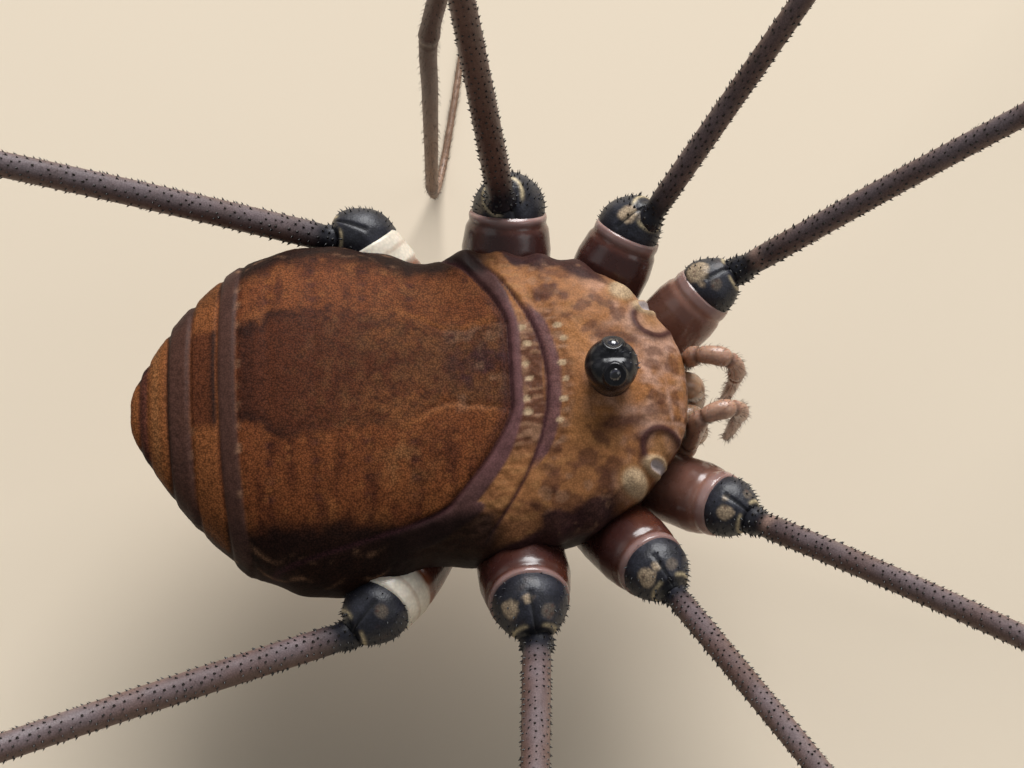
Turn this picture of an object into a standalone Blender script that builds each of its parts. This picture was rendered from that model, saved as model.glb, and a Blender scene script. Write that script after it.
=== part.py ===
"""A harvestman standing still, life size, in metres with +Z up.

The animal faces -Y and its left side is +X. Sizes below are in millimetres, measured from
the middle of the first groove behind the carapace, with heights taken from the floor.
BODY_X and BODY_Y then move the whole animal so that the box round its stance is centred
on the origin, with the feet on z = 0.
"""
import math
from typing import NamedTuple

import bmesh
import bpy
from mathutils import Quaternion, Vector

MM = 0.001
BODY_X = 3.22
BODY_Y = -2.33

# Gap kept between pieces that meet.
GAP = 0.03

# Trunk, from front to tail: place along Y, half width, top, widest level and underside.
TRUNK = (
    (-2.36, 0.30, 3.98, 3.80, 3.52),
    (-2.28, 0.66, 4.14, 3.82, 3.20),
    (-2.02, 1.06, 4.30, 3.84, 2.72),
    (-1.60, 1.52, 4.44, 3.86, 2.25),
    (-0.95, 1.94, 4.52, 3.85, 1.92),
    (-0.20, 2.10, 4.50, 3.80, 1.72),
    (0.55, 2.20, 4.48, 3.70, 1.62),
    (1.10, 2.12, 4.54, 3.50, 1.56),
    (1.75, 2.34, 4.65, 3.36, 1.50),
    (2.60, 2.46, 4.72, 3.44, 1.52),
    (3.35, 2.27, 4.68, 3.60, 1.78),
    (3.96, 1.88, 4.56, 3.75, 2.26),
    (4.52, 1.26, 4.38, 3.88, 2.92),
    (4.92, 0.68, 4.18, 3.93, 3.42),
    (5.12, 0.28, 4.04, 3.93, 3.75),
)
TRUNK_STEPS = 2
TRUNK_SIDES = 24
TRUNK_SQUARENESS = 2.2

# The groove between carapace and abdomen sweeps back towards the sides, and the last
# rings of the abdomen start at a plain cross groove.
SUTURE_Y = 0.0
SUTURE_SWEEP = 0.25
TAIL_GROOVE_Y = 3.84
CUT = 0.04

# Eye hill: radius and height from its foot in the carapace up to its crown.
HILL_Y = -1.31
HILL = ((0.30, 4.40), (0.28, 4.58), (0.315, 4.76), (0.355, 4.94), (0.34, 5.09), (0.265, 5.22),
        (0.13, 5.30))
HILL_SIDES = 20
EYE_RADIUS = 0.13
EYE_RISE = math.radians(47.0)
EYE_OUT = 0.26
EYE_LEVEL = 4.97

# Least radius of legs and feelers in these solids.
THIN = 0.25
LEG_SIDES = 8
# A tube with a flat side down has its middle this far above that side, per unit radius.
FLAT_RISE = math.cos(math.pi / LEG_SIDES)


class Leg(NamedTuple):
    """Sizes of one pair of legs, with places given for the left leg."""

    root: tuple
    hip: tuple
    coxa_radius: float
    trochanter: tuple
    femur: float
    patella: float
    tibia: float
    metatarsus: float
    tarsus: float


class Pose(NamedTuple):
    """Angles of one leg in degrees. Sweep is 0 straight out sideways and 90 straight ahead.

    The socket is where the femur starts: out, ahead and up from the middle of the hip.
    """

    socket: tuple
    sweep: float
    rise: float
    knee_sweep: float
    tibia_sweep: float
    tibia_drop: float
    metatarsus_sweep: float
    tarsus_sweep: float
    tarsus_curl: float
    landing_radius: float


LEGS = {
    "1": Leg((0.45, -1.20, 2.30), (1.62, -2.86, 3.61), 0.46, (0.78, 0.78), 5.7, 1.1, 4.4, 4.8, 6.4),
    "2": Leg((0.55, -0.55, 2.15), (2.50, -1.80, 3.80), 0.50, (0.88, 0.84), 8.6, 1.35, 6.6, 6.2, 10.4),
    "3": Leg((0.60, 0.15, 2.10), (2.91, -0.10, 3.78), 0.58, (0.92, 0.96), 6.2, 1.1, 4.4, 4.8, 6.6),
    "4": Leg((0.70, 0.75, 2.10), (2.73, 2.00, 3.26), 0.52, (0.92, 0.86), 7.5, 1.25, 5.2, 6.0, 8.0),
}
POSES = {
    ("left", "1"): Pose((0.15, 0.37, 0.10), 78.3, 40.0, 76.0, 70.0, 52.0, 68.0, 62.0, 26.0, 2.6),
    ("left", "2"): Pose((0.0, 0.26, 0.30), 49.3, 48.0, 48.0, 46.0, 54.0, 44.0, 42.0, 22.0, 3.0),
    ("left", "3"): Pose((-0.06, -0.10, 0.36), -31.0, 79.0, 32.0, -106.0, 80.5, -112.0, 12.0, -6.0, 1.02),
    ("left", "4"): Pose((-0.02, -0.42, 0.07), -88.7, 33.0, -84.0, -76.0, 46.0, -72.0, -66.0, -26.0, 2.6),
    ("right", "1"): Pose((0.21, 0.27, 0.09), 46.6, 40.0, 48.0, 50.0, 52.0, 52.0, 54.0, 26.0, 2.6),
    ("right", "2"): Pose((0.34, 0.19, 0.08), 22.6, 43.0, 23.0, 25.0, 52.0, 27.0, 28.0, 24.0, 3.0),
    ("right", "3"): Pose((0.47, 0.05, -0.02), -4.2, 42.0, -5.0, -7.0, 54.0, -9.0, -11.0, -24.0, 2.6),
    ("right", "4"): Pose((0.29, -0.39, 0.0), -62.9, 36.0, -61.0, -58.0, 48.0, -56.0, -52.0, -26.0, 2.6),
}
SIDES = {"left": 1.0, "right": -1.0}

FEMUR_BOW = 0.10
TIBIA_BOW = 0.06
TARSUS_STEPS = 10
# Share of the knee's whole bend that lies in the patella itself.
PATELLA_SPAN = (0.35, 1.65)

# Jaws and palps, places along the left one.
CHELICERA = ((0.24, -2.18, 3.42), (0.24, -2.42, 3.40), (0.24, -2.52, 3.14), (0.24, -2.50, 2.66),
             (0.23, -2.42, 2.28))
CHELICERA_RADIUS = (0.18, 0.21, 0.21, 0.18, 0.12)
PEDIPALP = ((0.66, -2.28, 2.84), (0.60, -2.42, 3.24), (0.55, -2.46, 3.52), (0.50, -2.47, 3.74),
            (0.455, -2.54, 3.97), (0.405, -2.72, 4.075), (0.36, -2.92, 4.04), (0.32, -3.05, 3.88),
            (0.29, -3.07, 3.62), (0.27, -3.06, 3.30), (0.27, -3.03, 2.92), (0.27, -2.95, 2.50))
PEDIPALP_RADIUS = (0.25, 0.25, 0.24, 0.235, 0.235, 0.235, 0.235, 0.235, 0.24, 0.24, 0.24, 0.22)

COLLECTION = "harvestman"
FINISHES = {
    "carapace": ((0.30, 0.13, 0.06), 0.55),
    "abdomen": ((0.24, 0.09, 0.03), 0.60),
    "eye_black": ((0.01, 0.01, 0.012), 0.15),
    "trochanter_black": ((0.02, 0.02, 0.03), 0.45),
    "leg_brown": ((0.16, 0.09, 0.07), 0.45),
    "foot_brown": ((0.12, 0.07, 0.05), 0.50),
    "palp_tan": ((0.45, 0.24, 0.15), 0.40),
}


def clear_scene():
    """Remove every object of the start-up scene."""
    for item in list(bpy.data.objects):
        bpy.data.objects.remove(item, do_unlink=True)


def make_collection(name):
    """A collection linked to the scene."""
    found = bpy.data.collections.new(name)
    bpy.context.scene.collection.children.link(found)
    return found


def make_material(name):
    """A plain finish for one kind of part."""
    color, roughness = FINISHES[name]
    material = bpy.data.materials.new(name)
    material.use_nodes = True
    shader = material.node_tree.nodes["Principled BSDF"]
    shader.inputs["Base Color"].default_value = (*color, 1.0)
    shader.inputs["Roughness"].default_value = roughness
    shader.inputs["Metallic"].default_value = 0.0
    return material


def place(point):
    """A point in body millimetres as a point in the frame, in metres."""
    return Vector((point[0] + BODY_X, point[1] + BODY_Y, point[2])) * MM


def mirrored(point, side):
    """A place given for the left side, on either side."""
    return Vector((point[0] * side, point[1], point[2]))


def add_mesh(name, form, collection, finish=None):
    """Link a bmesh as a named object and free it."""
    mesh = bpy.data.meshes.new(name)
    bmesh.ops.recalc_face_normals(form, faces=form.faces)
    form.to_mesh(mesh)
    form.free()
    item = bpy.data.objects.new(name, mesh)
    collection.objects.link(item)
    if finish:
        mesh.materials.append(finish)
        mesh.shade_smooth()
    return item


def hide_cutter(item):
    """Mark an object as a cutter, which isn't a part."""
    item.hide_render = True
    item.display_type = "WIRE"
    return item


def add_boolean(target, operation, cutter):
    """Cut, keep or join one object with another."""
    change = target.modifiers.new(cutter.name, "BOOLEAN")
    change.operation = operation
    change.solver = "EXACT"
    change.object = cutter


def catmull(before, start, end, after, t):
    """A value between start and end on a smooth curve through all four."""
    return 0.5 * (
        2.0 * start
        + (end - before) * t
        + (2.0 * before - 5.0 * start + 4.0 * end - after) * t * t
        + (3.0 * start - before - 3.0 * end + after) * t * t * t
    )


def smooth_rows(rows, steps):
    """Rows of numbers with smooth rows added between them."""
    last = len(rows) - 1
    made = []
    for i in range(last):
        around = [rows[max(0, min(last, i + k))] for k in (-1, 0, 1, 2)]
        for step in range(steps):
            made.append([catmull(*column, step / steps) for column in zip(*around)])
    made.append(list(rows[last]))
    return made


def trunk_ring(form, row):
    """One cross section of the trunk, wider above or below its widest level as the row says."""
    along, half_width, top, level, bottom = row
    power = 2.0 / TRUNK_SQUARENESS
    ring = []
    for k in range(TRUNK_SIDES):
        angle = 2.0 * math.pi * k / TRUNK_SIDES
        across = math.copysign(abs(math.cos(angle)) ** power, math.cos(angle))
        upward = math.copysign(abs(math.sin(angle)) ** power, math.sin(angle))
        height = top - level if upward > 0.0 else level - bottom
        ring.append(form.verts.new(place((half_width * across, along, level + height * upward))))
    return ring


def close_loft(form, rings):
    """Faces from each ring to the next, and one across each end."""
    for ring, following in zip(rings, rings[1:]):
        for k in range(len(ring)):
            after = (k + 1) % len(ring)
            form.faces.new((ring[k], ring[after], following[after], following[k]))
    form.faces.new(rings[0])
    form.faces.new(rings[-1])


def build_trunk(name, collection):
    """The whole trunk, lofted from front to tail."""
    form = bmesh.new()
    close_loft(form, [trunk_ring(form, row) for row in smooth_rows(TRUNK, TRUNK_STEPS)])
    return add_mesh(name, form, collection)


def build_prism(name, outline, low, high, collection):
    """A block with an outline in plan, used to part the trunk."""
    form = bmesh.new()
    corners = [form.verts.new(place((x, y, low))) for x, y in outline]
    floor = form.faces.new(corners)
    raised = bmesh.ops.extrude_face_region(form, geom=[floor])
    moved = [part for part in raised["geom"] if isinstance(part, bmesh.types.BMVert)]
    bmesh.ops.translate(form, vec=Vector((0.0, 0.0, (high - low) * MM)), verts=moved)
    return hide_cutter(add_mesh(name, form, collection))


def suture_line(shift):
    """Points of the curved groove in plan, from right to left, moved along Y by shift."""
    reach = 3.2
    count = 16
    line = []
    for k in range(count + 1):
        x = -reach + 2.0 * reach * k / count
        line.append((x, SUTURE_Y + SUTURE_SWEEP * x * x + shift))
    return line


def build_ellipsoid(name, middle, axis, length, width, collection, finish=None, sides=12):
    """A ball stretched along an axis, for joints and eyes."""
    form = bmesh.new()
    bmesh.ops.create_uvsphere(form, u_segments=sides, v_segments=7, radius=1.0)
    bmesh.ops.scale(form, vec=Vector((width, width, length)) * (0.5 * MM), verts=form.verts)
    turn = axis.to_track_quat("Z", "Y").to_matrix()
    bmesh.ops.rotate(form, cent=Vector(), matrix=turn, verts=form.verts)
    bmesh.ops.translate(form, vec=place(middle), verts=form.verts)
    return add_mesh(name, form, collection, finish)


def build_tube(name, points, radii, collection, finish=None):
    """A tapered tube with closed ends and a flat side down, as a curve."""
    curve = bpy.data.curves.new(name, "CURVE")
    curve.dimensions = "3D"
    curve.twist_mode = "Z_UP"
    curve.bevel_depth = MM
    curve.bevel_resolution = LEG_SIDES // 2 - 2
    curve.use_fill_caps = True
    line = curve.splines.new("POLY")
    line.points.add(len(points) - 1)
    for knot, point, radius in zip(line.points, points, radii):
        knot.co = (*place(point), 1.0)
        knot.radius = radius
        knot.tilt = math.pi / LEG_SIDES
    item = bpy.data.objects.new(name, curve)
    collection.objects.link(item)
    if finish:
        curve.materials.append(finish)
    return item


def tube_cutter(name, points, radii, collection):
    """The same tube as a closed mesh, to cut or join with."""
    tube = build_tube(name + "_line", points, radii, collection)
    ready = tube.evaluated_get(bpy.context.evaluated_depsgraph_get())
    mesh = bpy.data.meshes.new_from_object(ready)
    form = bmesh.new()
    form.from_mesh(mesh)
    bmesh.ops.remove_doubles(form, verts=form.verts, dist=0.00001 * MM)
    item = add_mesh(name, form, collection)
    item.matrix_world = tube.matrix_world
    bpy.data.objects.remove(tube, do_unlink=True)
    bpy.data.meshes.remove(mesh)
    return hide_cutter(item)


def direction(side, sweep, pitch):
    """A unit vector out from the body, swept forwards and pitched up, in degrees."""
    level = math.cos(math.radians(pitch))
    ahead = math.radians(sweep)
    across = side * level * math.cos(ahead)
    return Vector((across, -level * math.sin(ahead), math.sin(math.radians(pitch))))


def metatarsus_drop(start_height, length, floor_height, landing_radius):
    """The slope in degrees that ends where an arc of the landing radius meets the floor."""
    reach = math.hypot(length, landing_radius)
    lean = math.atan2(landing_radius, length)
    share = (start_height - floor_height - landing_radius) / reach
    return math.degrees(lean + math.asin(min(1.0, share)))


def bowed(start, end, bow, count):
    """Points of a gently arched line from start to end."""
    points = []
    for k in range(count + 1):
        t = k / count
        points.append(start.lerp(end, t) + Vector((0.0, 0.0, bow * math.sin(math.pi * t))))
    return points


def walk(start, headings, step):
    """Points reached from start by steps of one length along each heading."""
    points = [start]
    for heading in headings:
        points.append(points[-1] + heading * step)
    return points


def knee_headings(thigh, knee, shin, count):
    """Headings round the knee, from near the femur's to near the tibia's."""
    low, high = PATELLA_SPAN
    headings = []
    for k in range(count):
        t = low + (high - low) * (k + 0.5) / count
        turned = thigh.slerp(knee, t) if t < 1.0 else knee.slerp(shin, t - 1.0)
        headings.append(turned)
    return headings


def tarsus_line(side, pose, ankle, drop, length, floor_height):
    """Points of a tarsus that lands on the floor from a slope and then curls along it."""
    landing = pose.landing_radius * math.radians(drop)
    headings = []
    for k in range(TARSUS_STEPS):
        gone = length * (k + 0.5) / TARSUS_STEPS
        slope = drop * max(0.0, 1.0 - gone / landing)
        curl = pose.tarsus_curl * max(0.0, gone - landing) / (length - landing)
        headings.append(direction(side, pose.tarsus_sweep + curl, -slope))
    points = walk(ankle, headings, length / TARSUS_STEPS)
    for k, point in enumerate(points):
        if length * k / TARSUS_STEPS >= landing:
            point.z = floor_height
    return points


def femur_base(side, leg, pose):
    """Where the middle line of a femur starts, on its trochanter."""
    out, ahead, up = pose.socket
    return mirrored(leg.hip, side) + Vector((side * out, -ahead, up))


def leg_lines(side, leg, pose, floor_height):
    """The middle line of each long segment of one leg, by the segment's name."""
    base = femur_base(side, leg, pose)
    thigh = direction(side, pose.sweep, pose.rise)
    shin = direction(side, pose.tibia_sweep, -pose.tibia_drop)
    knee = direction(side, pose.knee_sweep, 0.5 * (pose.rise - pose.tibia_drop))
    femur_end = base + thigh * leg.femur
    patella = walk(femur_end, knee_headings(thigh, knee, shin, 4), leg.patella / 4)
    tibia_end = patella[-1] + shin * leg.tibia
    drop = metatarsus_drop(tibia_end.z, leg.metatarsus, floor_height, pose.landing_radius)
    foot = direction(side, pose.metatarsus_sweep, -drop)
    ankle = tibia_end + foot * leg.metatarsus
    return {
        "femur": bowed(base, femur_end, FEMUR_BOW, 3),
        "patella": patella,
        "tibia": bowed(patella[-1], tibia_end, TIBIA_BOW, 3),
        "metatarsus": bowed(tibia_end, ankle, TIBIA_BOW, 3),
        "tarsus": tarsus_line(side, pose, ankle, drop, leg.tarsus, floor_height),
    }


def shorten(points, start, end):
    """A line with its first and last points moved inwards along it."""
    made = [point.copy() for point in points]
    made[0] += (points[1] - points[0]).normalized() * start
    made[-1] += (points[-2] - points[-1]).normalized() * end
    return made


def joint_room(before, after):
    """How far two tubes that meet at an angle stay back from their joint."""
    bend = (before[-1] - before[-2]).angle(after[1] - after[0])
    return THIN * math.tan(0.5 * bend) + 0.5 * GAP


def hip_axis(side, leg, pose):
    """The way a trochanter points, between its coxa and the start of its femur."""
    coxa = (mirrored(leg.hip, side) - mirrored(leg.root, side)).normalized()
    ahead = (femur_base(side, leg, pose) - mirrored(leg.hip, side)).normalized()
    return coxa.slerp(ahead, 0.5)


def clears_trochanter(offset, axis, leg):
    """Whether a point, given from the middle of a trochanter, lies outside it by the gap."""
    length, width = leg.trochanter
    along = offset.dot(axis)
    across = (offset - axis * along).length
    return math.hypot(along / (0.5 * length + GAP), across / (0.5 * width + GAP)) > 1.0


def hip_room(side, leg, pose, thigh):
    """How far along its line a femur starts, so that its flat end clears the trochanter."""
    axis = hip_axis(side, leg, pose)
    first = femur_base(side, leg, pose) - mirrored(leg.hip, side)
    spoke = thigh.orthogonal().normalized() * THIN
    spokes = [Vector()]
    for k in range(12):
        turned = Quaternion(thigh, math.pi * k / 6.0) @ spoke
        spokes += [turned, 0.5 * turned]
    room = 0.0
    while not all(clears_trochanter(first + thigh * room + part, axis, leg) for part in spokes):
        room += 0.01
    return room


def build_leg(side_name, number, collection, finishes):
    """One leg from its trochanter to its tarsus, each segment an object."""
    side, leg, pose = SIDES[side_name], LEGS[number], POSES[side_name, number]
    prefix = f"leg{number}_{side_name}"
    lines = leg_lines(side, leg, pose, THIN * FLAT_RISE)
    build_ellipsoid(f"{prefix}_trochanter", mirrored(leg.hip, side), hip_axis(side, leg, pose),
                    *leg.trochanter, collection, finishes["trochanter_black"])
    names = list(lines)
    rooms = [hip_room(side, leg, pose, (lines["femur"][1] - lines["femur"][0]).normalized())]
    for before, after in zip(names, names[1:]):
        rooms.append(joint_room(lines[before], lines[after]))
    rooms.append(0.0)
    for k, name in enumerate(names):
        finish = finishes["foot_brown" if name in ("metatarsus", "tarsus") else "leg_brown"]
        points = shorten(lines[name], rooms[k], rooms[k + 1])
        build_tube(f"{prefix}_{name}", points, [THIN] * len(points), collection, finish)


def build_coxa_cutter(side_name, number, extra, collection):
    """The hip segment fixed to the prosoma, thicker by extra where it is cut from others."""
    side, leg = SIDES[side_name], LEGS[number]
    root, hip = mirrored(leg.root, side), mirrored(leg.hip, side)
    rim = root.lerp(hip, 1.0 - 0.2 / (hip - root).length)
    points = [root.lerp(rim, t) for t in (0.0, 0.35, 0.7, 0.92, 1.0)]
    radii = [leg.coxa_radius * share + extra for share in (0.80, 0.95, 1.05, 1.03, 0.92)]
    return tube_cutter(f"coxa{number}_{side_name}_{extra:.2f}", points, radii, collection)


def trochanter_cutter(side_name, number, collection):
    """The room that a trochanter needs in its neighbours."""
    side, leg, pose = SIDES[side_name], LEGS[number], POSES[side_name, number]
    length, width = leg.trochanter
    room = build_ellipsoid(f"hip{number}_{side_name}", mirrored(leg.hip, side),
                           hip_axis(side, leg, pose), length + 2.0 * GAP, width + 2.0 * GAP,
                           collection)
    return hide_cutter(room)


def build_body(parts, cutters, finishes):
    """Prosoma with its coxae, abdomen and tail rings, parted from one trunk."""
    half = 0.5 * CUT
    front = build_prism("front_block", suture_line(-half) + [(4.0, -5.0), (-4.0, -5.0)],
                        0.5, 6.0, cutters)
    middle = build_prism("middle_block", suture_line(half) + [(4.0, TAIL_GROOVE_Y - half),
                         (-4.0, TAIL_GROOVE_Y - half)], 0.5, 6.0, cutters)
    back = build_prism("back_block", [(-4.0, TAIL_GROOVE_Y + half), (4.0, TAIL_GROOVE_Y + half),
                       (4.0, 7.0), (-4.0, 7.0)], 0.5, 6.0, cutters)
    prosoma = build_trunk("prosoma", parts)
    abdomen = build_trunk("abdomen", parts)
    tail = build_trunk("abdomen_tip", parts)
    for item, block, finish in ((prosoma, front, "carapace"), (abdomen, middle, "abdomen"),
                                (tail, back, "abdomen")):
        item.data.materials.append(finishes[finish])
        add_boolean(item, "INTERSECT", block)
    for side_name in SIDES:
        for number in LEGS:
            add_boolean(prosoma, "UNION", build_coxa_cutter(side_name, number, 0.0, cutters))
        add_boolean(abdomen, "DIFFERENCE", build_coxa_cutter(side_name, "4", GAP, cutters))
        add_boolean(abdomen, "DIFFERENCE", build_coxa_cutter(side_name, "3", GAP, cutters))
    for side_name in SIDES:
        for number in LEGS:
            room = trochanter_cutter(side_name, number, cutters)
            add_boolean(prosoma, "DIFFERENCE", room)
            if number == "4":
                add_boolean(abdomen, "DIFFERENCE", room)
    return prosoma


def hill_outline(radius):
    """Corners of a round outline about the middle of the eye hill."""
    turn = 2.0 * math.pi / HILL_SIDES
    return [(radius * math.cos(turn * k), HILL_Y + radius * math.sin(turn * k))
            for k in range(HILL_SIDES)]


def build_eye_hill(prosoma, parts, cutters, finishes):
    """The ocularium in a shallow pocket of the carapace, and its two eyes."""
    form = bmesh.new()
    rings = []
    for radius, height in HILL:
        rings.append([form.verts.new(place((x, y, height))) for x, y in hill_outline(radius)])
    close_loft(form, rings)
    hill = add_mesh("ocularium", form, parts, finishes["eye_black"])
    foot_radius, foot_height = HILL[0]
    pocket = build_prism("hill_pocket", hill_outline(foot_radius + GAP), foot_height - GAP,
                         6.0, cutters)
    add_boolean(prosoma, "DIFFERENCE", pocket)
    middle = Vector((0.0, HILL_Y, EYE_LEVEL))
    for side_name, side in SIDES.items():
        out = Vector((side * math.cos(EYE_RISE), 0.0, math.sin(EYE_RISE)))
        spot = middle + out * EYE_OUT
        room = 2.0 * (EYE_RADIUS + GAP)
        socket = build_ellipsoid(f"socket_{side_name}", spot, out, room, room, cutters)
        add_boolean(hill, "DIFFERENCE", hide_cutter(socket))
        build_ellipsoid(f"eye_{side_name}", spot, out, 2.0 * EYE_RADIUS, 2.0 * EYE_RADIUS,
                        parts, finishes["eye_black"], 14)


def build_mouthparts(prosoma, parts, cutters, finishes):
    """Chelicerae and pedipalps, each in its own room at the front of the prosoma."""
    for side_name, side in SIDES.items():
        for kind, line, radii in (("chelicera", CHELICERA, CHELICERA_RADIUS),
                                  ("pedipalp", PEDIPALP, PEDIPALP_RADIUS)):
            points = [mirrored(point, side) for point in line]
            build_tube(f"{kind}_{side_name}", points, radii, parts, finishes["palp_tan"])
            wide = [radius + GAP for radius in radii]
            start = points[0] + (points[0] - points[1]).normalized() * GAP
            room = tube_cutter(f"{kind}_room_{side_name}", [start, *points[1:]], wide, cutters)
            add_boolean(prosoma, "DIFFERENCE", room)


def main():
    """Build every part of the harvestman."""
    clear_scene()
    parts = make_collection(COLLECTION)
    cutters = make_collection("cutters")
    finishes = {name: make_material(name) for name in FINISHES}
    prosoma = build_body(parts, cutters, finishes)
    build_eye_hill(prosoma, parts, cutters, finishes)
    build_mouthparts(prosoma, parts, cutters, finishes)
    for side_name in SIDES:
        for number in LEGS:
            build_leg(side_name, number, parts, finishes)


main()
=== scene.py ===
"""A harvestman standing still, life size: its skin, shell plates, eyes, coat and studio.

The animal faces -Y and its left side is +X. Sizes are in millimetres, measured from the
middle of the first groove behind the carapace with heights from the floor, and `place`
moves them into the frame, in metres. Colours are linear.
"""
import logging
import math
from dataclasses import dataclass, field
from enum import Enum
from typing import Sequence

import bmesh
import bpy
import numpy as np
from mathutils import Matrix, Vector


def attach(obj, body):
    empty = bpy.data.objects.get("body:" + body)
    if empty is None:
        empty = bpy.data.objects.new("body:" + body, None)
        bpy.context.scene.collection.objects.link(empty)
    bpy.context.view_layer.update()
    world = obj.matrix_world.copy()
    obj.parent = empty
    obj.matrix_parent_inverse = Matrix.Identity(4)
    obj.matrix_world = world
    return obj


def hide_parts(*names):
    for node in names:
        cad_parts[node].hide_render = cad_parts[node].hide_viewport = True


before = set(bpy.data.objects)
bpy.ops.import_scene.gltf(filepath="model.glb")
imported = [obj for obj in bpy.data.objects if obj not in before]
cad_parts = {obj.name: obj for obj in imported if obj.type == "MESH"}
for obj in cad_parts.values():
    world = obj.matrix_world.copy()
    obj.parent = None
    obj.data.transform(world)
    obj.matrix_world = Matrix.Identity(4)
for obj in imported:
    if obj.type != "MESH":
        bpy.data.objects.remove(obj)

log = logging.getLogger("harvestman")

Array = np.ndarray
Color = tuple[float, float, float]
Point = tuple[float, float, float]

MM = 0.001
BODY = (3.22, -2.33, 0.0)


# --- numbers ---


def place(points: Array) -> Array:
    """Points in body millimetres as points in the frame, in metres."""
    return (np.asarray(points, float) + BODY) * MM


def unit(vectors: Array) -> Array:
    """The same directions with length one."""
    vectors = np.asarray(vectors, float)
    return vectors / np.maximum(np.linalg.norm(vectors, axis=-1, keepdims=True), 1e-12)


def smooth(low: float, high: float, value: Array) -> Array:
    """A soft step from 0 at low to 1 at high."""
    t = np.clip((value - low) / (high - low), 0.0, 1.0)
    return t * t * (3.0 - 2.0 * t)


def bell(distance: Array, width: float) -> Array:
    """A soft bump, 1 where the distance is 0."""
    return np.exp(-((distance / width) ** 2))


def within(value: Array, low: Array, high: Array, edge: float) -> Array:
    """1 between low and high, with soft edges."""
    return smooth(-edge, edge, value - low) * smooth(-edge, edge, high - value)


def hashed(cells: Array, seed: int) -> Array:
    """A fixed number for each whole-number cell.

    Args:
        cells: three whole numbers each.
        seed: which of many like tables.

    Returns:
        Numbers from 0 to 1.
    """
    n = cells[..., 0] * 73856093 ^ cells[..., 1] * 19349663 ^ cells[..., 2] * 83492791
    n = (n + seed * 1013904223) & 0x7FFFFFFF
    n = (n ^ (n >> 13)) * 1274126177 & 0x7FFFFFFF
    n = (n ^ (n >> 16)) * 668265263 & 0x7FFFFFFF
    return ((n ^ (n >> 15)) & 0xFFFFFF) / 0xFFFFFF


def grain(points: Array, size: float, seed: int = 0) -> Array:
    """Smooth noise from -1 to 1 with patches of one size.

    Args:
        points: places in millimetres, one row each.
        size: width of a patch in millimetres.
        seed: which of many like patterns.

    Returns:
        One number for each place.
    """
    scaled = points / size + 31.7 * seed
    low = np.floor(scaled)
    part = scaled - low
    part = part * part * (3.0 - 2.0 * part)
    cells = low.astype(np.int64)
    total = np.zeros(len(points))
    for corner in np.ndindex(2, 2, 2):
        share = np.prod(np.where(corner, part, 1.0 - part), axis=1)
        total += share * hashed(cells + np.array(corner), seed)
    return 2.0 * total - 1.0


def layered(points: Array, size: float, seed: int = 0, layers: int = 3) -> Array:
    """Noise of one size with finer noise over it.

    Args:
        points: places in millimetres, one row each.
        size: width of the largest patches in millimetres.
        seed: which of many like patterns.
        layers: how many sizes are added up.

    Returns:
        One number for each place, from about -1 to 1.
    """
    total, share = np.zeros(len(points)), 1.0
    for k in range(layers):
        total += share * grain(points, size / 2.1**k, seed + k)
        share *= 0.55
    return total / 1.6


def pebbles(points: Array, size: float, seed: int = 0) -> tuple[Array, Array]:
    """Small rounded grains packed side by side.

    Args:
        points: places in millimetres, one row each.
        size: width of a grain in millimetres.
        seed: which of many like patterns.

    Returns:
        The height at each place, 1 on top of a grain, and a number from 0 to 1 for its grain.
    """
    scaled = points / size + 11.3 * seed
    cells = np.floor(scaled).astype(np.int64)
    nearest = np.full(len(points), 9.0)
    owner = np.zeros(len(points))
    for step in np.ndindex(3, 3, 3):
        cell = cells + np.array(step) - 1
        spot = np.stack([hashed(cell, seed + 7 * k + 3) for k in range(3)], axis=1)
        gap = np.linalg.norm(cell + spot - scaled, axis=1)
        closer = gap < nearest
        nearest = np.where(closer, gap, nearest)
        owner = np.where(closer, spot[:, 0], owner)
    return np.clip(1.0 - (nearest / 0.75) ** 2, 0.0, 1.0), owner


def along_rows(rows: Array, places: Array) -> Array:
    """Values on a smooth curve through rows of numbers.

    Args:
        rows: the numbers, one row for each knot.
        places: where to read the curve, counted in rows.

    Returns:
        One row for each place.
    """
    last = len(rows) - 1
    i = np.clip(np.floor(places).astype(int), 0, last - 1)
    t = (places - i)[:, None]
    before, start, end, after = (rows[np.clip(i + k, 0, last)] for k in (-1, 0, 1, 2))
    return 0.5 * (
        2.0 * start
        + (end - before) * t
        + (2.0 * before - 5.0 * start + 4.0 * end - after) * t * t
        + (3.0 * start - before - 3.0 * end + after) * t * t * t
    )


def spread_rows(rows: Array, count: int, weight: Array | None = None) -> tuple[Array, Array]:
    """Places on the curve through rows, evenly apart or closer where the weight is high.

    Args:
        rows: points of the curve.
        count: how many places, less one.
        weight: for each row of points, how densely places lie there.

    Returns:
        The places counted in rows, and how far along the curve each one is.
    """
    fine = np.linspace(0.0, len(rows) - 1, 120 * len(rows))
    line = along_rows(rows, fine)
    step = np.linalg.norm(np.diff(line, axis=0), axis=1)
    gone = np.concatenate([[0.0], np.cumsum(step)])
    if weight is not None:
        dense = np.interp(fine, np.arange(len(rows)), weight)
        count_gone = np.concatenate([[0.0], np.cumsum(step * 0.5 * (dense[1:] + dense[:-1]))])
    else:
        count_gone = gone
    marks = np.linspace(0.0, count_gone[-1], count + 1)
    return np.interp(marks, count_gone, fine), np.interp(marks, count_gone, gone)


# --- stance ---


class Side(Enum):
    """A side of the body, with the sign of its X."""

    LEFT = 1.0
    RIGHT = -1.0

    @property
    def word(self) -> str:
        """The side's name in piece names."""
        return self.name.lower()

    def mirror(self, point: Point) -> Array:
        """A place given for the left side, on this side."""
        return np.array((point[0] * self.value, point[1], point[2]))


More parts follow.
